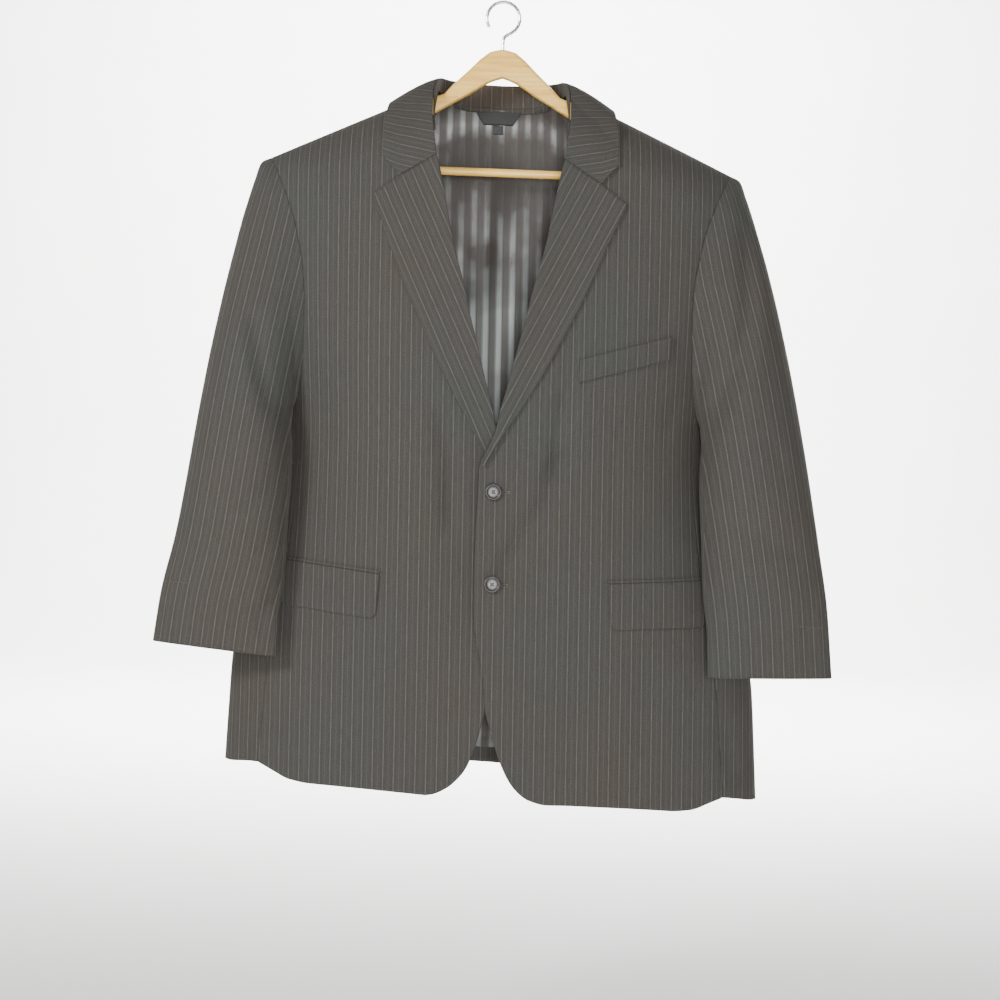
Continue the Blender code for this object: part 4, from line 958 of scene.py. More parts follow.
def sleeve_across(side, along, bearing, part):
    """Millimetres across the sleeve's cloth. The topsleeve's stripes run parallel to the
    outer fold, and the undersleeve's to the inner one."""
    lean = math.radians(SLEEVE_GRAIN)
    grain = lambda point: (point[..., 0] * math.cos(lean) + point[..., 2] * math.sin(lean),
                           point[..., 0] * math.sin(lean) - point[..., 2] * math.cos(lean))
    rings = np.linspace(0, 1, 81)
    fold_across, fold_along = grain(sleeve(side, rings, 0.0 if part == "topsleeve" else 180.0))
    across, length = grain(sleeve(side, along, bearing))
    order = np.argsort(fold_along)
    fold_here = np.interp(length, fold_along[order], fold_across[order])
    straight = np.interp(SLEEVE_HEAD, rings, fold_across)
    head = np.where(length < np.interp(SLEEVE_HEAD, rings, fold_along), straight - fold_here, 0)
    apart = np.abs(fold_here - across)
    settle = head * (1 - np.exp(-(apart / SLEEVE_FOLD_ROUND) ** 2)) * (part == "topsleeve")
    ahead = np.where(np.sin(np.radians(bearing)) >= 0, 1, -1)
    return ahead * (round_fold(apart) + settle) + STRIPE_START, length


def make_sleeves(side):
    """The topsleeve and the undersleeve, each between the two sleeve seams."""
    fine = settings().fineness
    rings = finer(SLEEVE_ROWS, fine + 2)
    around = {
        "topsleeve": [[BACK_SEAM_BEARING], BACK_ARM[BACK_ARM > BACK_SEAM_BEARING][:0:-1],
                      FRONT_ARM[:-1] + 360, UNDER_ARM[UNDER_ARM < FRONT_SEAM_BEARING] + 360,
                      [FRONT_SEAM_BEARING + 360]],
        "undersleeve": [[FRONT_SEAM_BEARING], UNDER_ARM[UNDER_ARM > FRONT_SEAM_BEARING],
                        BACK_ARM[(BACK_ARM < BACK_SEAM_BEARING) & (BACK_ARM > UNDER_ARM[-1])][::-1],
                        [BACK_SEAM_BEARING]],
    }
    for part, bearings in around.items():
        along, bearing = np.meshgrid(rings, finer(np.concatenate(bearings), fine), indexing="ij")
        outer, inner = (moved_out(partial(sleeve, side), along, bearing, -depth) for depth in (0, WALL))
        inner[0] = body_out(side, *armhole(np.mod(bearing[0], 360)), -WALL)
        across, length = sleeve_across(side, along, bearing, part)
        piece = shell(f"{part}_cloth_{side}", outer, inner, across, length, side, back_finish=SATIN,
                      hem_rows=2 * fine)
        declare(piece, f"{part}_{side}", "suiting", held="hung", rests_on=[f"front_cloth_{side}"],
                **cut_of(piece, part))


def make_lapel(side):
    """The turned-out part of a facing, between the roll line, the gorge and its own edge."""
    fine = settings().fineness
    gorge = gorge_line(LAPEL_POINT)
    top = paired(finer(gorge[:, 0], fine), finer(gorge[:, 1], fine))
    rows = LAPEL_ROWS * fine + 1
    left, right = (line(np.linspace(0, length, rows))
                   for line, length in (smooth_line(ROLL_LINE), smooth_line(LAPEL_EDGE[side])))
    bottom = left[-1] + np.linspace(0, 1, len(top))[:, None] * (right[-1] - left[-1])
    x, down = np.moveaxis(patch(top, bottom, left, right), -1, 0)
    lift = LAPEL_GAP + LAPEL_WALL + ROLL_LIFT * np.exp(-((x - x[:, :1]) / ROLL_REACH) ** 2)
    turn = body_turn(x, down)
    outer, inner = (body_out(side, turn, down, lift - depth) for depth in (0, LAPEL_WALL))
    edge_x, edge_down = LAPEL_EDGE[side]["x"], LAPEL_EDGE[side]["down"]
    slope = math.atan2(edge_x[0] - edge_x[-2], edge_down[-2] - edge_down[0])
    out_x, out_down = math.cos(slope), math.sin(slope)
    from_x, from_down = x - LAPEL_POINT[0], down - LAPEL_POINT[1]
    piece = shell(f"lapel_cloth_{side}", outer, inner, from_x * out_x + from_down * out_down + STRIPE_START,
                  from_down * out_x - from_x * out_down, side)
    declare(piece, f"lapel_{side}", "suiting", held="folded", rests_on=[f"front_cloth_{side}"],
            **cut_of(piece, "lapel"))


def joined(piece, other):
    """One piece that takes in the other's mesh."""
    shape = bmesh.new()
    shape.from_mesh(piece.data)
    shape.from_mesh(other.data)
    shape.to_mesh(piece.data)
    shape.free()
    bpy.data.objects.remove(other)
    return piece


def neck_allowance():
    """The collar stand's lower edge, turned down over the top of the back lining."""
    x = np.linspace(-NECK_ALLOWANCE_HALF, NECK_ALLOWANCE_HALF, 61)
    share = np.linspace(0, 1, 5)[:, None]
    back = {name: column[:5] for name, column in NECK_SEAM.items()}
    top = paired(x, read(back, "y", np.abs(x), "x") - 1.3, -read(back, "down", np.abs(x), "x") - 0.5)
    low_down = read(BACK_NECKLINE, "down", np.abs(x), "x") + 5.0
    low = body_out("left", body_turn(x, low_down, behind=True), low_down, -LINING_GAP - WALL - 1.9)
    outer = top + (low - top) * share[..., None]
    return shell("neck_allowance", outer, outer + (0, 0.5, 0.25), x + 0 * share, 30 + 8 * share + 0 * x)


def make_collar():
    """The collar's leaf, then its stand inside the neck with the seam's turning."""
    fine = settings().fineness
    along = finer(COLLAR_ROWS, fine)
    a, b = np.meshgrid(along, finer(NOTCH_SHARES, fine), indexing="ij")
    normal = -facing(collar_point, np.clip(a, .004, .996), np.clip(b, .02, .98), FINE_STEP, 0.02)
    point = collar_point(a, b)
    turn, down = body_turn(point[..., 0], -point[..., 2]), -point[..., 2]
    share = smooth_step(a, *COLLAR_TO_FACE)[..., None]
    normal = normal + share * (facing(partial(body, "left"), turn, down) - normal)
    outer = clear_of_body(point, LAPEL_WALL + LAPEL_GAP + COLLAR_CLEAR)
    inner = outer - normal * LAPEL_WALL
    step = np.diff(outer[:, 0], axis=0)
    length = np.concatenate([[0], np.cumsum(np.linalg.norm(step, axis=-1))])
    turn_in = smooth_step(along, *COLLAR_TO_GRAIN)[:, None]
    way = (1 - turn_in) * unit(np.concatenate([step, step[-1:]])) + turn_in * np.array(COLLAR_GRAIN)
    spread = outer - outer[:, :1]
    across = length[:, None] + (spread * unit(way)[:, None]).sum(-1)
    piece = shell("collar_leaf_cloth", both_sides(outer), both_sides(inner), both_sides(across, -1),
                  both_sides(np.linalg.norm(spread, axis=-1), 1))
    declare(piece, "collar_leaf", "suiting", held="folded", rests_on=["back_cloth_left", "back_cloth_right"],
            **cut_of(piece, "collar_leaf"))

    a, b = np.meshgrid(along[along <= COLLAR_END], np.linspace(0, 1, 3 * fine + 1), indexing="ij")
    roll, seam = line_at(COLLAR, a, "roll_"), line_at(NECK_SEAM, a)
    away = unit(roll * (1, 1, 0) + (0, 5, 0))
    roll = roll - away * (WALL + 0.4)
    inside = (roll + (seam - roll) * b[..., None]) * (1, 1, -1)
    length = np.concatenate([[0], np.cumsum(np.linalg.norm(np.diff(inside[:, 0], axis=0), axis=-1))])
    piece = shell("collar_stand_cloth", both_sides(inside), both_sides(inside + away * WALL),
                  both_sides(length[:, None] + 0 * b, -1), both_sides(b * 30, 1))
    piece = joined(piece, neck_allowance())
    declare(piece, "collar_stand", "suiting", held="folded", rests_on=["collar_leaf_cloth"],
            **cut_of(piece, "collar_stand"))


def laid_piece(name, side, x, down, wall, node_name, kind, lift=LAID_ON_GAP):
    """A small piece that lies on a front, from its grid of x and down."""
    turn = body_turn(x, down)
    outer, inner = (body_out(side, turn, down, lift + height) for height in (wall, 0))
    piece = shell(name, outer, inner, girth(turn, down), down, side)
    declare(piece, node_name, "suiting", held="hung", rests_on=[f"front_cloth_{side}"],
            **cut_of(piece, kind))


def make_pocket(side):
    """A flap with rounded corners, and the jet above it."""
    fine = settings().fineness
    corner = finer([0, 1.0, 3.6, FLAP_CORNER], 2)
    inner_x, outer_x = POCKET_X
    inner_down, outer_down = (level + FLAP_DROP[side] for level in POCKET_DOWN)
    length = outer_x - inner_x
    mouth = lambda from_end: inner_down + from_end / length * (outer_down - inner_down)
    from_end = np.concatenate([corner, np.linspace(FLAP_CORNER, length - FLAP_CORNER, 6 * fine + 1)[1:-1],
                               length - corner[::-1]])
    nearest = np.minimum(from_end, length - from_end)
    cut = FLAP_CORNER - np.sqrt(FLAP_CORNER ** 2 - np.clip(FLAP_CORNER - nearest, 0, None) ** 2)
    tall = np.linspace(0, 1, 5 * fine + 1)[:, None] * (FLAP_TALL - cut)
    laid_piece(f"flap_cloth_{side}", side, inner_x + from_end + FLAP_SLANT * tall, mouth(from_end) + tall,
               WALL, f"flap_{side}", "flap")
    strip = np.linspace(-JET_TALL, -SEAM_GAP, 5)[:, None]
    x = np.linspace(inner_x - 1, outer_x + 1, 8 * fine + 1) + 0 * strip
    laid_piece(f"jet_cloth_{side}", side, x, mouth(x - inner_x) + strip, JET_WALL, f"jet_{side}", "jet")


def make_welt():
    """The breast welt, which slants up to the shoulder."""
    fine = settings().fineness
    share, tall = np.meshgrid(np.linspace(0, 1, 8 * fine + 1), np.linspace(0, WELT_TALL, 3 * fine + 1))
    x = WELT_X + WELT_LONG * share - WELT_SLANT * tall
    laid_piece("breast_welt_cloth", "left", x, WELT_DOWN - WELT_RISE * share + tall, WALL, "breast_welt",
               "breast_welt", WELT_GAP)


def lining_out(x, down):
    """How far the back lining hangs in from the back's face: loose, with soft pleats."""
    lower_share = smooth_step(down, 150, 120)
    pleat = 1.6 * np.sin(x / 13.0 + 0.9 * np.sin(down / 90)) + 1.2 * np.sin(x / 7.3 + down / 210)
    return -(LINING_GAP + WALL) - lower_share * (2.4 + pleat) - 0.6 * smooth_step(down, 112, 20)


def make_lining():
    """The back lining, and the two bare woven tapes on it."""
    rows = {name: finer(LINING_ROWS[name], LINING_FINENESS) for name in LINING_ROWS}
    row, share = np.meshgrid(np.arange(len(rows["down"])), np.linspace(-1, 1, LINING_COLUMNS), indexing="ij")
    x = share * rows["half"][row]
    neckline = read(BACK_NECKLINE, "down", np.abs(x), "x") - BACK_NECKLINE["down"][0]
    down = rows["down"][row] + rows["neck"][row] * neckline + LINING_SEAM
    turn = body_turn(x, down, behind=True)
    outer, inner = (body_out("left", turn, down, lining_out(x, down) - depth) for depth in (0, LINING_WALL))
    piece = shell("lining_cloth", outer, inner, x, down, finish=SATIN, back_finish=SATIN)
    declare(piece, "lining_back", "lining", held="hung", rests_on=["back_cloth_left", "back_cloth_right"],
            **cut_of(piece, "lining_back"))
    for name, (node_name, slot, finish, top, half_top, half_low, tall) in TAPES.items():
        drop, share = np.meshgrid(np.linspace(0, 1, TAPE_ROWS), np.linspace(-1, 1, TAPE_COLUMNS),
                                  indexing="ij")
        x = TAPE_X + share * (half_top + drop * (half_low - half_top))
        down = top + drop * tall
        turn = body_turn(x, down, behind=True)
        face, rear = (body_out("left", turn, down, LABEL_OUT - depth) for depth in (0, LABEL_WALL))
        piece = shell(name, rear, face, x, down, finish=finish, back_finish=finish)
        declare(piece, node_name, slot, held="laid", rests_on=["lining_cloth"],
                flat=(2 * half_top / 1000, tall / 1000), area=(half_top + half_low) * tall / 1e6)


NOISE = "ShaderNodeTexNoise"
MAPPING = "ShaderNodeMapping"
MATH = "ShaderNodeMath"
RAMP = "ShaderNodeValToRGB"
MIX = "ShaderNodeMix"
RANGE = "ShaderNodeMapRange"
BUMP = "ShaderNodeBump"
MIXED = {"out": 2, "data_type": "RGBA"}
MULTIPLIED = {**MIXED, "blend_type": "MULTIPLY"}
SMOOTHED = {"interpolation_type": "SMOOTHSTEP"}


def linear(hex_colour):
    """An sRGB hex colour as linear RGBA."""
    parts = [int(hex_colour[i:i + 2], 16) / 255 for i in (1, 3, 5)]
    return tuple(c / 12.92 if c <= 0.04045 else ((c + 0.055) / 1.055) ** 2.4 for c in parts) + (1.0,)


def feed(tree, item, values):
    """Sets or links a node's inputs, by number or name."""
    for name, value in values.items():
        socket = item.inputs[name]
        if isinstance(value, bpy.types.NodeSocket):
            tree.links.new(value, socket)
        else:
            socket.default_value = value


def node(tree, kind, values=None, out=0, stops=(), **settings):
    """Adds one node with its settings, its inputs' values or links and, on a colour ramp, its
    (place, grey or hex colour) stops, and gives one of its outputs."""
    item = tree.nodes.new(kind)
    for name, value in settings.items():
        setattr(item, name, value)
    feed(tree, item, values or {})
    if stops:
        band = item.color_ramp.elements
        while len(band) > 1:
            band.remove(band[-1])
        for count, (place, tone) in enumerate(stops):
            stop = band[0] if count == 0 else band.new(place)
            stop.position = place
            stop.color = linear(tone) if isinstance(tone, str) else (tone, tone, tone, 1)
    return item.outputs[out]


def new_material(name, base):
    """An empty material with a Principled shader: its node adder, and what feeds the shader."""
    finish = bpy.data.materials.new(name)
    finish.use_nodes = True
    finish.diffuse_color = base
    tree = finish.node_tree
    return partial(node, tree), partial(feed, tree, tree.nodes["Principled BSDF"])


def cloth_place(add):
    """The place on the cut cloth in millimetres: both ways, across and along."""
    place = add("ShaderNodeUVMap", uv_map=CLOTH_MAP)
    return place, *(add("ShaderNodeSeparateXYZ", {0: place}, axis) for axis in ("X", "Y"))


def object_noise(add, scale, detail, **more):
    """Noise fixed to the object, with its scale in lumps to the metre."""
    spot = add("ShaderNodeTexCoord", out="Object")
    return add(NOISE, {"Vector": spot, "Scale": scale, "Detail": detail, **more})


def drawn_out(add, place, scale, detail, **more):
    """Noise stretched into streaks by its scale each way."""
    return add(NOISE, {"Vector": add(MAPPING, {"Vector": place, "Scale": scale}), "Scale": 1.0,
                       "Detail": detail, **more})


def line_mask(add, value, spacing, half_width, offset=0.0, peak=1.0):
    """The peak on lines that repeat every spacing along value, and 0 between them."""
    moved = add(MATH, {0: value, 1: offset}, operation="ADD")
    near = add(MATH, {0: moved, 1: spacing / 2}, operation="PINGPONG")
    return add(RANGE, {"Value": near, "From Min": half_width * 1.5, "From Max": half_width * 0.5,
                       "To Max": peak}, **SMOOTHED)


def waves(add, value, spacing):
    """Even waves from -1 to 1, one to each spacing along value."""
    turned = add(MATH, {0: value, 1: 2 * math.pi / spacing}, operation="MULTIPLY")
    return add(MATH, {0: turned}, operation="SINE")


def make_suiting(look):
    """Worsted wool, woven in a fine twill and pressed: matt with a slight nap, never quite
    one colour, with light yarns for the pinstripe and darker ones between."""
    add, finish = new_material(SUITING, look.cloth_colour[:])
    place, across, along = cloth_place(add)
    ground = add(RAMP, {0: object_noise(add, 5.0, 3.0)},
                 stops=[(0.34, "#373835"), (0.5, "#393734"), (0.66, "#3b3733")])
    # Yarns are 0.3 mm thick; their unevenness is drawn at about 1.6 mm so that it shows
    yarn = add(NOISE, {"Vector": place, "Scale": 0.62, "Detail": 3.0, "Roughness": 0.7})
    streaks = drawn_out(add, place, (2.6, 0.07, 1.0), 2.0)
    ground = add(MIX, {0: 0.8, 6: ground, 7: add(RAMP, {0: yarn}, stops=[(0.3, 0.62), (0.7, 1.38)])},
                 **MULTIPLIED)
    ground = add(MIX, {0: 0.45, 6: ground, 7: add(RAMP, {0: streaks}, stops=[(0.3, 0.72), (0.7, 1.28)])},
                 **MULTIPLIED)
    spacing = look.stripe_spacing * 1000
    dark = line_mask(add, across, spacing / 3, 0.5, spacing / 6, 0.22)
    ground = add(MIX, {0: dark, 6: ground, 7: linear("#23211e")}, **MIXED)
    soft = line_mask(add, across, spacing, 0.5, spacing / 2, 0.14)
    ground = add(MIX, {0: soft, 6: ground, 7: linear("#6f695f")}, **MIXED)
    pin = line_mask(add, across, spacing, look.stripe_width * 500)
    broken = add(RAMP, {0: streaks}, stops=[(0.35, 0.45), (0.6, 1.0)])
    share = add(MATH, {0: pin, 1: broken}, operation="MULTIPLY")
    share = add(MATH, {0: share, 1: look.stripe_strength}, operation="MULTIPLY")
    # Twill ribs are 0.4 mm in the cloth; they are drawn at 1.1 mm so that they show
    diagonal = add(MATH, {0: along, 1: 0.8, 2: across}, operation="MULTIPLY_ADD")
    ribs = waves(add, diagonal, 1.1)
    height = add(MATH, {0: yarn, 1: 0.8, 2: add(MATH, {0: ribs, 1: 0.12}, operation="MULTIPLY")},
                 operation="MULTIPLY_ADD")
    height = add(MATH, {0: pin, 1: 0.25, 2: height}, operation="MULTIPLY_ADD")
    finish({"Base Color": add(MIX, {0: share, 6: ground, 7: look.stripe_colour[:]}, **MIXED),
            "Normal": add(BUMP, {"Height": height, "Strength": 0.35, "Distance": 0.0004}),
            "Roughness": add(RAMP, {0: yarn}, stops=[(0.3, 0.78), (0.7, 0.92)]),
            "Specular IOR Level": 0.3, "Sheen Weight": 0.12, "Sheen Roughness": 0.5,
            "Sheen Tint": linear("#b5ada0")})


def make_satin(look):
    """Striped viscose satin: dark and smooth, with dull and bright woven bands down its length,
    and silvery streaks painted on the bands as highlights in the colour."""
    add, finish = new_material(SATIN, look.lining_colour[:])
    place, across = cloth_place(add)[:2]
    band = line_mask(add, across, 16.0, 3.4)
    thin = line_mask(add, across, 8.0, 0.6, 3.0)
    base = add(RAMP, {0: object_noise(add, 7.0, 2.0)}, stops=[(0.35, "#201c19"), (0.6, "#2b2119")])
    # Painted light by height: the colour is darkened at the neck as painted shade, lifted across the low
    # chest as painted light, and dulled again lower down; the same share drives the bands' painted highlights
    height = add("ShaderNodeSeparateXYZ", {0: add("ShaderNodeTexCoord", out="Object")}, "Z")
    painted_light_low_v = add(RANGE, {"Value": height, "From Min": -0.24, "From Max": -0.42, "To Min": -0.14,
                        "To Max": 0.34}, **SMOOTHED)
    lower_share = add(RANGE, {"Value": height, "From Min": -0.52, "From Max": -0.66, "To Max": 0.4}, **SMOOTHED)
    level = add(MATH, {0: object_noise(add, 16.0, 2.0), 1: painted_light_low_v}, operation="ADD")
    level = add(MATH, {0: level, 1: lower_share}, operation="SUBTRACT")
    painted_light_share = add(RAMP, {0: level}, stops=[(0.4, 0.06), (0.75, 1.0)])
    # Painted highlights: a lighter grey ground and silvery bands where the painted light share is high; the
    # thin dark lines are the weave's own stripes
    for share, strength, colour in ((painted_light_share, 0.6, "#5f605b"), (painted_light_share, band, "#929b98"),
                                    (thin, 0.4, "#1d1a18")):
        base = add(MIX, {0: add(MATH, {0: share, 1: strength}, operation="MULTIPLY"), 6: base,
                         7: linear(colour)}, **MIXED)
    # Warp threads are 0.1 mm; the streaks are drawn at about 1 mm so that they show
    threads = drawn_out(add, place, (3.0, 0.05, 1.0), 3.0)
    finish({"Base Color": base,
            "Roughness": add(MATH, {0: band, 1: -0.18, 2: 0.46}, operation="MULTIPLY_ADD"),
            "Normal": add(BUMP, {"Height": threads, "Strength": 0.3, "Distance": 0.0005}),
            "Specular IOR Level": 0.4, "Anisotropic": 0.4})


def make_tape(name, dark, light):
    """Woven polyester tape: a close ribbed weave, 0.7 mm to a rib, with a dull sheen, left bare."""
    add, finish = new_material(name, linear(dark))
    place, across = cloth_place(add)[:2]
    speck = add(NOISE, {"Vector": place, "Scale": 1.5, "Detail": 3.0})
    share = add(RAMP, {0: speck}, stops=[(0.3, 0.0), (0.8, 0.8)])
    finish({"Base Color": add(MIX, {0: share, 6: linear(dark), 7: linear(light)}, **MIXED),
            "Roughness": add(RAMP, {0: speck}, stops=[(0.3, 0.45), (0.7, 0.62)]),
            "Normal": add(BUMP, {"Height": waves(add, across, 0.7), "Strength": 0.3, "Distance": 0.0002})})


def make_resin(look):
    """Polished polyester resin: glossy, dark, with cloudy lighter veins like horn."""
    add, finish = new_material("polished resin", look.button_colour[:])
    cloud = object_noise(add, 190.0, 4.0, Distortion=0.8)
    colour = add(RAMP, {0: cloud}, stops=[(0.3, "#191613"), (0.55, "#282421"), (0.75, "#45403b")])
    finish({"Base Color": colour,
            "Roughness": add(RAMP, {0: cloud}, stops=[(0.3, 0.3), (0.8, 0.42)]), "IOR": 1.5})


def make_wood(look):
    """Lacquered beech: pale yellow with fine straight grain along the hanger and short
    darker flecks, under a thin satin lacquer."""
    add, finish = new_material("lacquered beech", look.wood_colour[:])
    spot = add("ShaderNodeTexCoord", out="Object")
    lines = drawn_out(add, spot, (9.0, 260.0, 260.0), 4.0, Distortion=0.3)
    flecks = drawn_out(add, spot, (120.0, 900.0, 900.0), 1.0)
    colour = add(RAMP, {0: lines}, stops=[(0.3, "#e0a743"), (0.5, "#f4c35b"), (0.7, "#fbd278")])
    share = add(RAMP, {0: flecks}, stops=[(0.62, 0.0), (0.74, 0.4)])
    finish({"Base Color": add(MIX, {0: share, 6: colour, 7: linear("#b98d50")}, **MIXED),
            "Roughness": add(RAMP, {0: lines}, stops=[(0.3, 0.5), (0.7, 0.36)]),
            "Normal": add(BUMP, {"Height": lines, "Strength": 0.12, "Distance": 0.0004}),
            "Coat Weight": 0.2, "Coat Roughness": 0.25})


def make_plain(name, base, scale, detail, colours, roughness, **more):
    """A finish whose colour and roughness follow one fine noise."""
    add, finish = new_material(name, base)
    noise = object_noise(add, scale, detail)
    finish({"Base Color": add(RAMP, {0: noise}, stops=[(0.3, colours[0]), (0.7, colours[1])]), **more})
    if isinstance(roughness, tuple):
        roughness = add(RAMP, {0: noise}, stops=[(0.3, roughness[0]), (0.7, roughness[1])])
    finish({"Roughness": roughness})


def make_materials():
    """Every finish of the scene, before the pieces that wear them."""
    look = bpy.context.scene.jacket_look
    make_suiting(look)
    make_satin(look)
    make_tape("woven label tape", "#131314", "#1e1d1e")
    make_tape("woven size tape", "#161617", "#242326")
    make_resin(look)
    make_wood(look)
    # Bright zinc-plated steel wire: metallic, lightly drawn along its length
    make_plain("plated steel wire", linear("#c9c9c6"), 400.0, 3.0, ("#b4b4b1", "#d2d2cf"), (0.22, 0.34),
               Metallic=1.0)
    # Mercerised polyester thread: tight, slightly shiny and a little lighter than the wool
    make_plain(THREAD, linear("#4a453f"), 900.0, 2.0, ("#3b3732", "#5b554d"), (0.45, 0.6))
    # A matt seamless paper roll for the floor and backdrop, with very faint mottling
    make_plain("seamless paper", look.backdrop_colour[:], 3.0, 2.0, ("#f3f3f1", "#f6f6f5"), 0.95)


def stitch_tree():
    """Geometry nodes that lay one stitch on each point, along the point's way."""
    tree = bpy.data.node_groups.new("Laid stitches", "GeometryNodeTree")
    add = partial(node, tree)
    for name, kind, value in (("Points", "NodeSocketGeometry", None),
                              ("Stitch Length", "NodeSocketFloat", 0.002),
                              ("Thread Thickness", "NodeSocketFloat", 0.0004),
                              ("Unevenness", "NodeSocketFloat", 0.12),
                              ("Seed", "NodeSocketInt", 7),
                              ("Thread", "NodeSocketMaterial", None)):
        socket = tree.interface.new_socket(name, in_out="INPUT", socket_type=kind)
        if value is not None:
            socket.default_value = value
    tree.interface.new_socket("Stitches", in_out="OUTPUT", socket_type="NodeSocketGeometry")
    given = tree.nodes.new("NodeGroupInput").outputs
    way = add("GeometryNodeInputNamedAttribute", {"Name": "way"}, data_type="FLOAT_VECTOR")
    turned = add("FunctionNodeAlignRotationToVector", {"Vector": way}, axis="Z")
    ball = add("GeometryNodeMeshUVSphere", {"Segments": 7, "Rings": 6, "Radius": 0.5}, "Mesh")
    size = add("ShaderNodeCombineXYZ", {"X": given["Thread Thickness"], "Y": given["Thread Thickness"],
                                        "Z": given["Stitch Length"]})
    least, most = (add(MATH, {0: 1.0, 1: given["Unevenness"]}, operation=way_of)
                   for way_of in ("SUBTRACT", "ADD"))
    uneven = add("FunctionNodeRandomValue", {2: least, 3: most, "Seed": given["Seed"]}, 1, data_type="FLOAT")
    scale = add("ShaderNodeVectorMath", {0: size, "Scale": uneven}, operation="SCALE")
    laid = add("GeometryNodeInstanceOnPoints", {"Points": given["Points"], "Instance": ball,
                                                "Rotation": turned, "Scale": scale})
    real = add("GeometryNodeRealizeInstances", {0: laid})
    smooth = add("GeometryNodeSetShadeSmooth", {"Geometry": real})
    thread = add("GeometryNodeSetMaterial", {"Geometry": smooth, "Material": given["Thread"]})
    feed(tree, tree.nodes.new("NodeGroupOutput"), {0: thread})
    return tree


def baked_mesh(item):
    """The mesh of an object with its modifiers applied."""
    return bpy.data.meshes.new_from_object(item.evaluated_get(bpy.context.evaluated_depsgraph_get()))


def stitches(name, runs):
    """One mesh piece of stitches, from runs of (metre points, points ahead of them)."""
    length, thickness, slot, seed = STITCHES[name]
    points, ahead = (np.concatenate(side) for side in zip(*runs))
    mesh = bpy.data.meshes.new(name + "_points")
    mesh.from_pydata(points.tolist(), [], [])
    store = mesh.attributes.new("way", "FLOAT_VECTOR", "POINT")
    store.data.foreach_set("vector", unit(ahead - points).astype(np.float32).ravel())
    holder = placed(name + "_points", mesh)
    tree = bpy.data.node_groups.get("Laid stitches") or stitch_tree()
    layer = holder.modifiers.new("Stitches", "NODES")
    layer.node_group = tree
    values = {"Stitch Length": length, "Thread Thickness": thickness, "Seed": seed,
              "Thread": bpy.data.materials[THREAD]}
    for item in tree.interface.items_tree:
        if item.in_out == "INPUT" and item.name in values:
            layer[item.identifier] = values[item.name]
    baked = baked_mesh(holder)
    baked.name = name
    piece = placed(name, baked)
    bpy.data.objects.remove(holder)
    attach(piece, BODY_NAME)


def on_front(side, x, down, lift):
    """Metre points on a front, moved out by a lift in millimetres."""
    return hang(body_out(side, body_turn(x, down), down, lift), side)


def sew_buttonholes():
    """Close stitches round both buttonholes, which lie level and end in a round eye."""
    step = np.linspace(-math.pi, math.pi, 65)[:-1]
    runs = []
    for down in BUTTON_DOWNS.values():
        x = BUTTON_X + BUTTONHOLE_REACH - BUTTONHOLE_LONG / 2 + np.cos(step) * BUTTONHOLE_LONG / 2
        y = down + np.sign(np.sin(step)) * np.minimum(np.abs(np.sin(step)) * 6, 1) * BUTTONHOLE_HALF
        out_x = x + np.cos(step) * 0.5 * (np.abs(np.cos(step)) > 0.97)
        out_y = y + np.sign(np.sin(step)) * 0.8
        runs.append([on_front("left", *spots, HOLE_STITCH_OUT) for spots in ((x, y), (out_x, out_y))])
    stitches("buttonhole_stitches", runs)


def sew_tacks():
    """Bar tacks at the pocket ends and a tack at each end of the welt."""
    runs = []
    for side in SIDES:
        for x, level, past in zip(POCKET_X, POCKET_DOWN, (-0.6, 0.6)):
            down = level + FLAP_DROP[side] + np.linspace(-JET_TALL - 0.6, 1.6, 9)
            runs.append([on_front(side, x + past + over, down, TACK_OUT) for over in (-1.0, 1.0)])
    lift = WELT_GAP + WALL + STITCH_OUT
    for share in (0.012, 0.988):
        down = WELT_DOWN - WELT_RISE * share + np.linspace(2, WELT_TALL - 2, 16)
        x = WELT_X + WELT_LONG * share - WELT_SLANT * (down - WELT_DOWN)
        runs.append((on_front("left", x, down, lift), on_front("left", x + 0.3, down + 2, lift)))
    stitches("pocket_tacks", runs)


def sew_label():
    """Small stitches that hold the neck label's sides, a millimetre in from its edges."""
    top, half_top, half_low, tall = TAPES["neck_label_cloth"][3:]
    drop = np.linspace(0.06, 0.94, 8)
    lift = LABEL_OUT - LABEL_WALL - LABEL_STITCH_OUT
    runs = []
    for sign in (-1, 1):
        x = TAPE_X + sign * (half_top - 1 + drop * (half_low - half_top))
        down = top + tall * drop
        runs.append([hang(body_out("left", body_turn(x - sign * on, down + 1.6 * on, behind=True),
                                   down + 1.6 * on, lift)) for on in (0, 1)])
    stitches("label_stitches", runs)


def sleeve_spots(side, x, down, out):
    """Metre points on the front of a sleeve that lie at x and down in front view."""
    along, bearing = np.meshgrid(np.linspace(0.5, 1, 161), np.linspace(2, 120, 119), indexing="ij")
    face = sleeve(side, along, bearing)
    nearest = [np.argmin(np.hypot(face[..., 0] - want_x, -face[..., 2] - down)) for want_x in x]
    return hang(moved_out(partial(sleeve, side), along.ravel()[nearest], bearing.ravel()[nearest], out), side)


def sew_vents():
    """The short line of stitches at the top of each cuff vent."""
    runs = []
    for side in SIDES:
        here = sleeve_spots(side, np.linspace(*VENT_X, 11), VENT_DOWN - SLEEVE_DROP[side] / 2, STITCH_OUT)
        runs.append((here, np.concatenate([here[1:], 2 * here[-1:] - here[-2:-1]])))
    stitches("vent_stitches", runs)


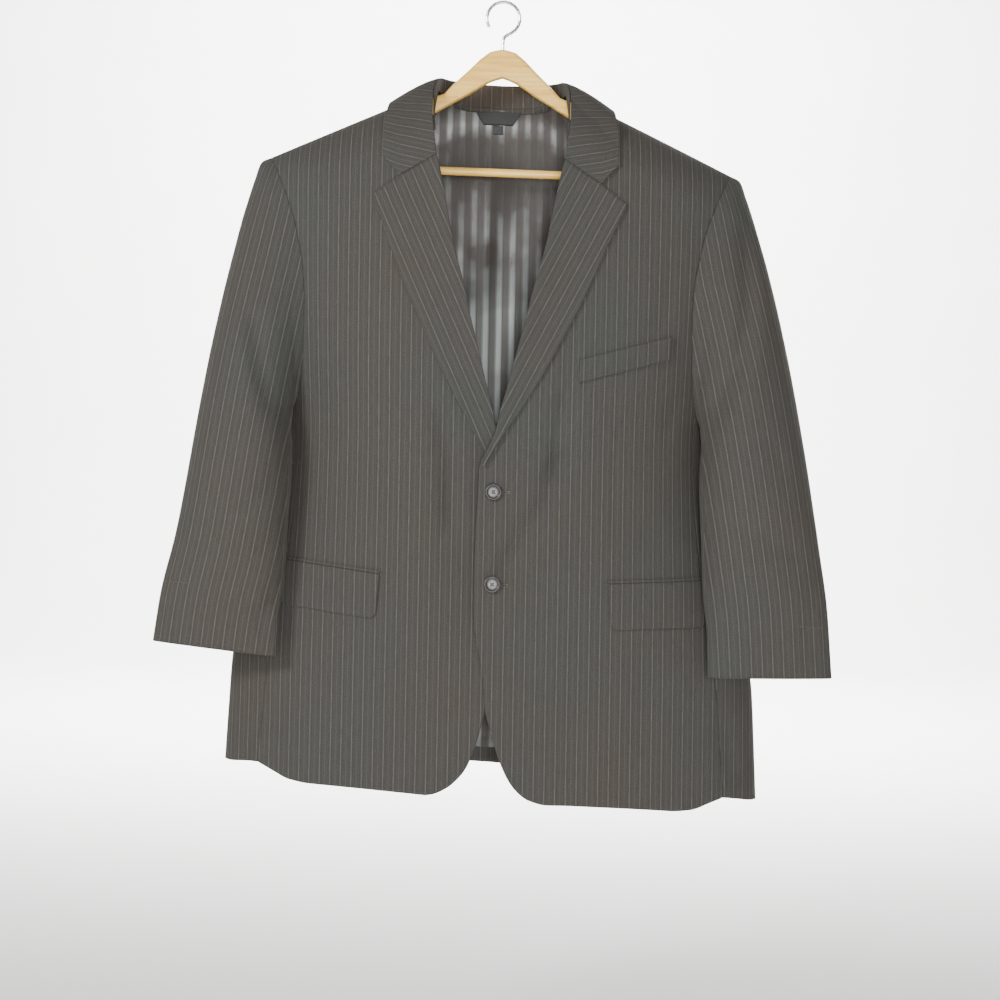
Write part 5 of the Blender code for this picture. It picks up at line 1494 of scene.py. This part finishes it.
def drilled_button(name):
    """A turned button with a raised rim, a dished middle and four holes, face up."""
    shape = bmesh.new()
    made = [shape.verts.new((x * MILLIMETRE, 0, z * MILLIMETRE)) for x, z in BUTTON_PROFILE]
    edges = [shape.edges.new(pair) for pair in zip(made, made[1:])]
    bmesh.ops.spin(shape, geom=made + edges, axis=(0, 0, 1), cent=(0, 0, 0), steps=56,
                   angle=2 * math.pi, use_duplicate=False)
    bmesh.ops.remove_doubles(shape, verts=shape.verts, dist=0.00002)
    bmesh.ops.recalc_face_normals(shape, faces=shape.faces)
    mesh = bpy.data.meshes.new("blank")
    shape.to_mesh(mesh)
    shape.free()
    blank = placed("blank", mesh)
    drills = []
    for angle in np.radians((45, 135, 225, 315)):
        bore = bmesh.new()
        bmesh.ops.create_cone(bore, cap_ends=True, segments=20, radius1=HOLE_RADIUS * MILLIMETRE,
                              radius2=HOLE_RADIUS * MILLIMETRE, depth=0.012)
        way = Vector((math.cos(angle), math.sin(angle), 0))
        bmesh.ops.translate(bore, verts=bore.verts, vec=way * HOLE_RING * MILLIMETRE)
        bore_mesh = bpy.data.meshes.new("drill")
        bore.to_mesh(bore_mesh)
        bore.free()
        drills.append(placed("drill", bore_mesh))
        blank.modifiers.new("hole", "BOOLEAN").object = drills[-1]
    baked = baked_mesh(blank)
    baked.name = name
    for spare in [blank] + drills:
        bpy.data.objects.remove(spare)
    return baked


def make_buttons():
    """The two buttons and the crossed threads that hold them."""
    runs = []
    for name, down in BUTTON_DOWNS.items():
        level, turn = np.array(down), body_turn(np.array(BUTTON_X), np.array(down))
        normal = Vector(facing(partial(body, "left"), turn, level).tolist())
        centre = Vector(hang(body_out("left", turn, level, BUTTON_GAP)).tolist())
        place = Matrix.Translation(centre) @ normal.to_track_quat("Z", "Y").to_matrix().to_4x4()
        baked = drilled_button(f"turned_button_{name}")
        baked.transform(place)
        baked.materials.clear()
        baked.materials.append(bpy.data.materials["polished resin"])
        baked.shade_smooth()
        baked.set_sharp_from_angle(angle=math.radians(40))
        declare(placed(f"turned_button_{name}", baked), f"button_{name}", "button")
        for degrees, over in ((45, 0), (135, 0.25)):
            way = Vector((math.cos(math.radians(degrees)), math.sin(math.radians(degrees)), 0))
            across, lift = Vector((-way.y, way.x, 0)), Vector((0, 0, BUTTON_THICK - 0.75 + over))
            here = [(across * shift + lift) * MILLIMETRE for shift in (-0.45, 0, 0.45)]
            runs.append([[tuple(place @ (spot + way * on)) for spot in here] for on in (0, 1)])
    stitches("button_thread", runs)


def colour_property(name, description, hex_colour):
    """A colour setting, with its default given as sRGB hex."""
    return FloatVectorProperty(name=name, description=description, subtype="COLOR", size=4,
                               default=linear(hex_colour))


class JacketForm(bpy.types.PropertyGroup):
    fineness: IntProperty(name="Fineness", default=6, min=1, max=8,
                          description="How many steps each span of the frame's grid is cut into")
    fold_strength: FloatProperty(name="Fold strength", default=1.0, min=0.0, max=1.6,
                                 description="How deep the fine creases and ripples are")


class JacketLook(bpy.types.PropertyGroup):
    cloth_colour: colour_property("Cloth", "Viewport colour of the suiting", "#58564f")
    stripe_colour: colour_property("Stripe", "Colour of the pinstripe yarn", "#8f897c")
    stripe_spacing: FloatProperty(name="Stripe spacing", default=0.0127, unit="LENGTH",
                                  description="From one pinstripe to the next")
    stripe_width: FloatProperty(name="Stripe width", default=0.0009, unit="LENGTH",
                                description="Width of a pinstripe")
    stripe_strength: FloatProperty(name="Stripe strength", default=0.22, min=0.0, max=1.0,
                                   description="How clearly the stripe shows")
    lining_colour: colour_property("Lining", "Viewport colour of the lining", "#3b3630")
    button_colour: colour_property("Buttons", "Viewport colour of the buttons", "#38332f")
    wood_colour: colour_property("Wood", "Viewport colour of the hanger", "#ecd49a")
    backdrop_colour: colour_property("Backdrop", "Viewport colour of floor and backdrop", "#f4f4f2")


class JacketStage(bpy.types.PropertyGroup):
    floor_down: FloatProperty(name="Floor", default=1.30, unit="LENGTH",
                              description="How far the floor is below the rail")
    key_power: FloatProperty(name="Key light", default=50.0,
                             description="Power of the main soft light in watts")
    fill_power: FloatProperty(name="Fill light", default=70.0,
                              description="Power of the second soft light in watts")
    backdrop_power: FloatProperty(name="Backdrop light", default=1700.0,
                                  description="Power of the light on the paper behind, in watts")
    back_power: FloatProperty(name="Back light", default=38.0,
                              description="Power of the light on the jacket's back in watts")
    sky_strength: FloatProperty(name="Sky", default=0.45, description="Strength of the even light all round")


class JACKET_OT_materials(bpy.types.Operator):
    """Make the wool, satin, tape, resin, wood, steel, thread and paper"""
    bl_idname = "jacket.materials"
    bl_label = "Materials"

    def execute(self, context):
        make_materials()
        return {"FINISHED"}


class JACKET_OT_body(bpy.types.Operator):
    """Cut and shape the fronts, sides and backs"""
    bl_idname = "jacket.body"
    bl_label = "Body panels"

    def execute(self, context):
        for side in SIDES:
            make_front(side)
            make_side(side)
            make_back(side)
        return {"FINISHED"}


class JACKET_OT_sleeves(bpy.types.Operator):
    """Cut and shape the two-piece sleeves"""
    bl_idname = "jacket.sleeves"
    bl_label = "Sleeves"

    def execute(self, context):
        for side in SIDES:
            make_sleeves(side)
        return {"FINISHED"}


class JACKET_OT_lapels(bpy.types.Operator):
    """Fold the lapels and the collar with its stand"""
    bl_idname = "jacket.lapels"
    bl_label = "Lapels and collar"

    def execute(self, context):
        for side in SIDES:
            make_lapel(side)
        make_collar()
        return {"FINISHED"}


class JACKET_OT_pockets(bpy.types.Operator):
    """Lay on the flaps, jets and breast welt"""
    bl_idname = "jacket.pockets"
    bl_label = "Pockets"

    def execute(self, context):
        for side in SIDES:
            make_pocket(side)
        make_welt()
        return {"FINISHED"}


class JACKET_OT_lining(bpy.types.Operator):
    """Hang the back lining with its bare neck label and size tag"""
    bl_idname = "jacket.lining"
    bl_label = "Lining and labels"

    def execute(self, context):
        make_lining()
        return {"FINISHED"}


class JACKET_OT_buttons(bpy.types.Operator):
    """Turn, drill and sew on the two buttons"""
    bl_idname = "jacket.buttons"
    bl_label = "Buttons"

    def execute(self, context):
        make_buttons()
        return {"FINISHED"}


class JACKET_OT_stitching(bpy.types.Operator):
    """Sew the buttonholes, tacks, label and cuff vents"""
    bl_idname = "jacket.stitching"
    bl_label = "Stitching"

    def execute(self, context):
        sew_buttonholes()
        sew_tacks()
        sew_label()
        sew_vents()
        return {"FINISHED"}


class JACKET_OT_hanger(bpy.types.Operator):
    """Finish the wooden hanger and its steel hook"""
    bl_idname = "jacket.hanger"
    bl_label = "Hanger"

    def execute(self, context):
        for name, finish in (("hanger_arms", "lacquered beech"), ("hanger_bar", "lacquered beech"),
                             ("hanger_hook", "plated steel wire")):
            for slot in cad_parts[name].material_slots:
                slot.material = bpy.data.materials[finish]
        return {"FINISHED"}


class JACKET_OT_stage(bpy.types.Operator):
    """Set the backdrop, soft lights and camera"""
    bl_idname = "jacket.stage"
    bl_label = "Stage"

    def execute(self, context):
        make_stage(context.scene.jacket_stage)
        return {"FINISHED"}


class JACKET_PT_panel(bpy.types.Panel):
    """Sizes, colours and steps of the jacket"""
    bl_idname = "JACKET_PT_panel"
    bl_label = "Suit jacket"
    bl_space_type = "VIEW_3D"
    bl_region_type = "UI"
    bl_category = "Jacket"

    def draw(self, context):
        scene = context.scene
        for group in (scene.jacket_form, scene.jacket_look, scene.jacket_stage):
            box = self.layout.box()
            for name in group.__annotations__:
                box.prop(group, name)
        for step in STEPS:
            self.layout.operator(step.bl_idname)


def sheet_of(name, grid, finish):
    """A smooth open sheet from a grid of points, for the backdrop."""
    grid = np.array(grid)
    faces = quads_of(np.arange(grid[..., 0].size).reshape(grid.shape[:2]))
    mesh = bpy.data.meshes.new(name)
    mesh.from_pydata(grid.reshape(-1, 3).tolist(), [], faces.tolist())
    mesh.materials.append(bpy.data.materials[finish])
    mesh.shade_smooth()
    return placed(name, mesh)


def area_light(name, place, target, size, power):
    """A round soft light that the camera doesn't see."""
    lamp = bpy.data.lights.new(name, "AREA")
    lamp.shape = "DISK"
    lamp.size = size
    lamp.energy = power
    item = placed(name, lamp)
    item.visible_camera = False
    way = Vector(target) - Vector(place)
    item.matrix_world = Matrix.Translation(Vector(place)) @ way.to_track_quat("-Z", "Y").to_matrix().to_4x4()


def make_stage(stage):
    """A seamless paper roll that rises behind the jacket, four soft lights, sky and camera."""
    floor, wall = -stage.floor_down, WALL_START + WALL_BEND
    profile = [(y, floor) for y in (-PAPER_HALF, -5.0, 0.0, WALL_START)]
    profile += [(WALL_START + WALL_BEND * math.sin(a), floor + WALL_BEND * (1 - math.cos(a)))
                for a in np.radians(np.linspace(7.5, 90, 12))]
    profile += [(wall, floor + 5.0), (wall, floor + PAPER_HIGH)]
    across = np.linspace(-PAPER_HALF, PAPER_HALF, 7)
    sheet_of("backdrop", [[(x, y, z) for x in across] for y, z in profile], "seamless paper")
    for name, (place, target, size, power) in LIGHTS.items():
        area_light(name, place, target, size, getattr(stage, power))
    sky = bpy.data.worlds.new("soft sky")
    sky.use_nodes = True
    feed(sky.node_tree, sky.node_tree.nodes["Background"],
         {"Color": (1, 1, 1, 1), "Strength": stage.sky_strength})
    bpy.context.scene.world = sky
    lens = bpy.data.cameras.new("camera")
    lens.lens = CAMERA_LENS
    lens.sensor_width = SENSOR_WIDTH
    camera = placed("camera", lens)
    camera.matrix_world = (Matrix.Translation(Vector(CAMERA_PLACE)) @ Matrix.Rotation(math.pi / 2, 4, "X")
                           @ Matrix.Rotation(math.radians(CAMERA_ROLL), 4, "Z"))
    bpy.context.scene.camera = camera


STEPS = (JACKET_OT_materials, JACKET_OT_body, JACKET_OT_sleeves, JACKET_OT_lapels, JACKET_OT_pockets,
         JACKET_OT_lining, JACKET_OT_buttons, JACKET_OT_stitching, JACKET_OT_hanger, JACKET_OT_stage)
GROUPS = {"jacket_form": JacketForm, "jacket_look": JacketLook, "jacket_stage": JacketStage}


def register():
    for group in GROUPS.values():
        bpy.utils.register_class(group)
    for name, group in GROUPS.items():
        setattr(bpy.types.Scene, name, PointerProperty(type=group))
    for step in STEPS:
        bpy.utils.register_class(step)
    bpy.utils.register_class(JACKET_PT_panel)


def unregister():
    bpy.utils.unregister_class(JACKET_PT_panel)
    for step in reversed(STEPS):
        bpy.utils.unregister_class(step)
    for name, group in GROUPS.items():
        delattr(bpy.types.Scene, name)
        bpy.utils.unregister_class(group)


def main():
    register()
    bpy.ops.jacket.materials()
    bpy.ops.jacket.body()
    bpy.ops.jacket.sleeves()
    bpy.ops.jacket.lapels()
    bpy.ops.jacket.pockets()
    bpy.ops.jacket.lining()
    bpy.ops.jacket.buttons()
    bpy.ops.jacket.stitching()
    bpy.ops.jacket.hanger()
    bpy.ops.jacket.stage()


if __name__ == "__main__":
    main()
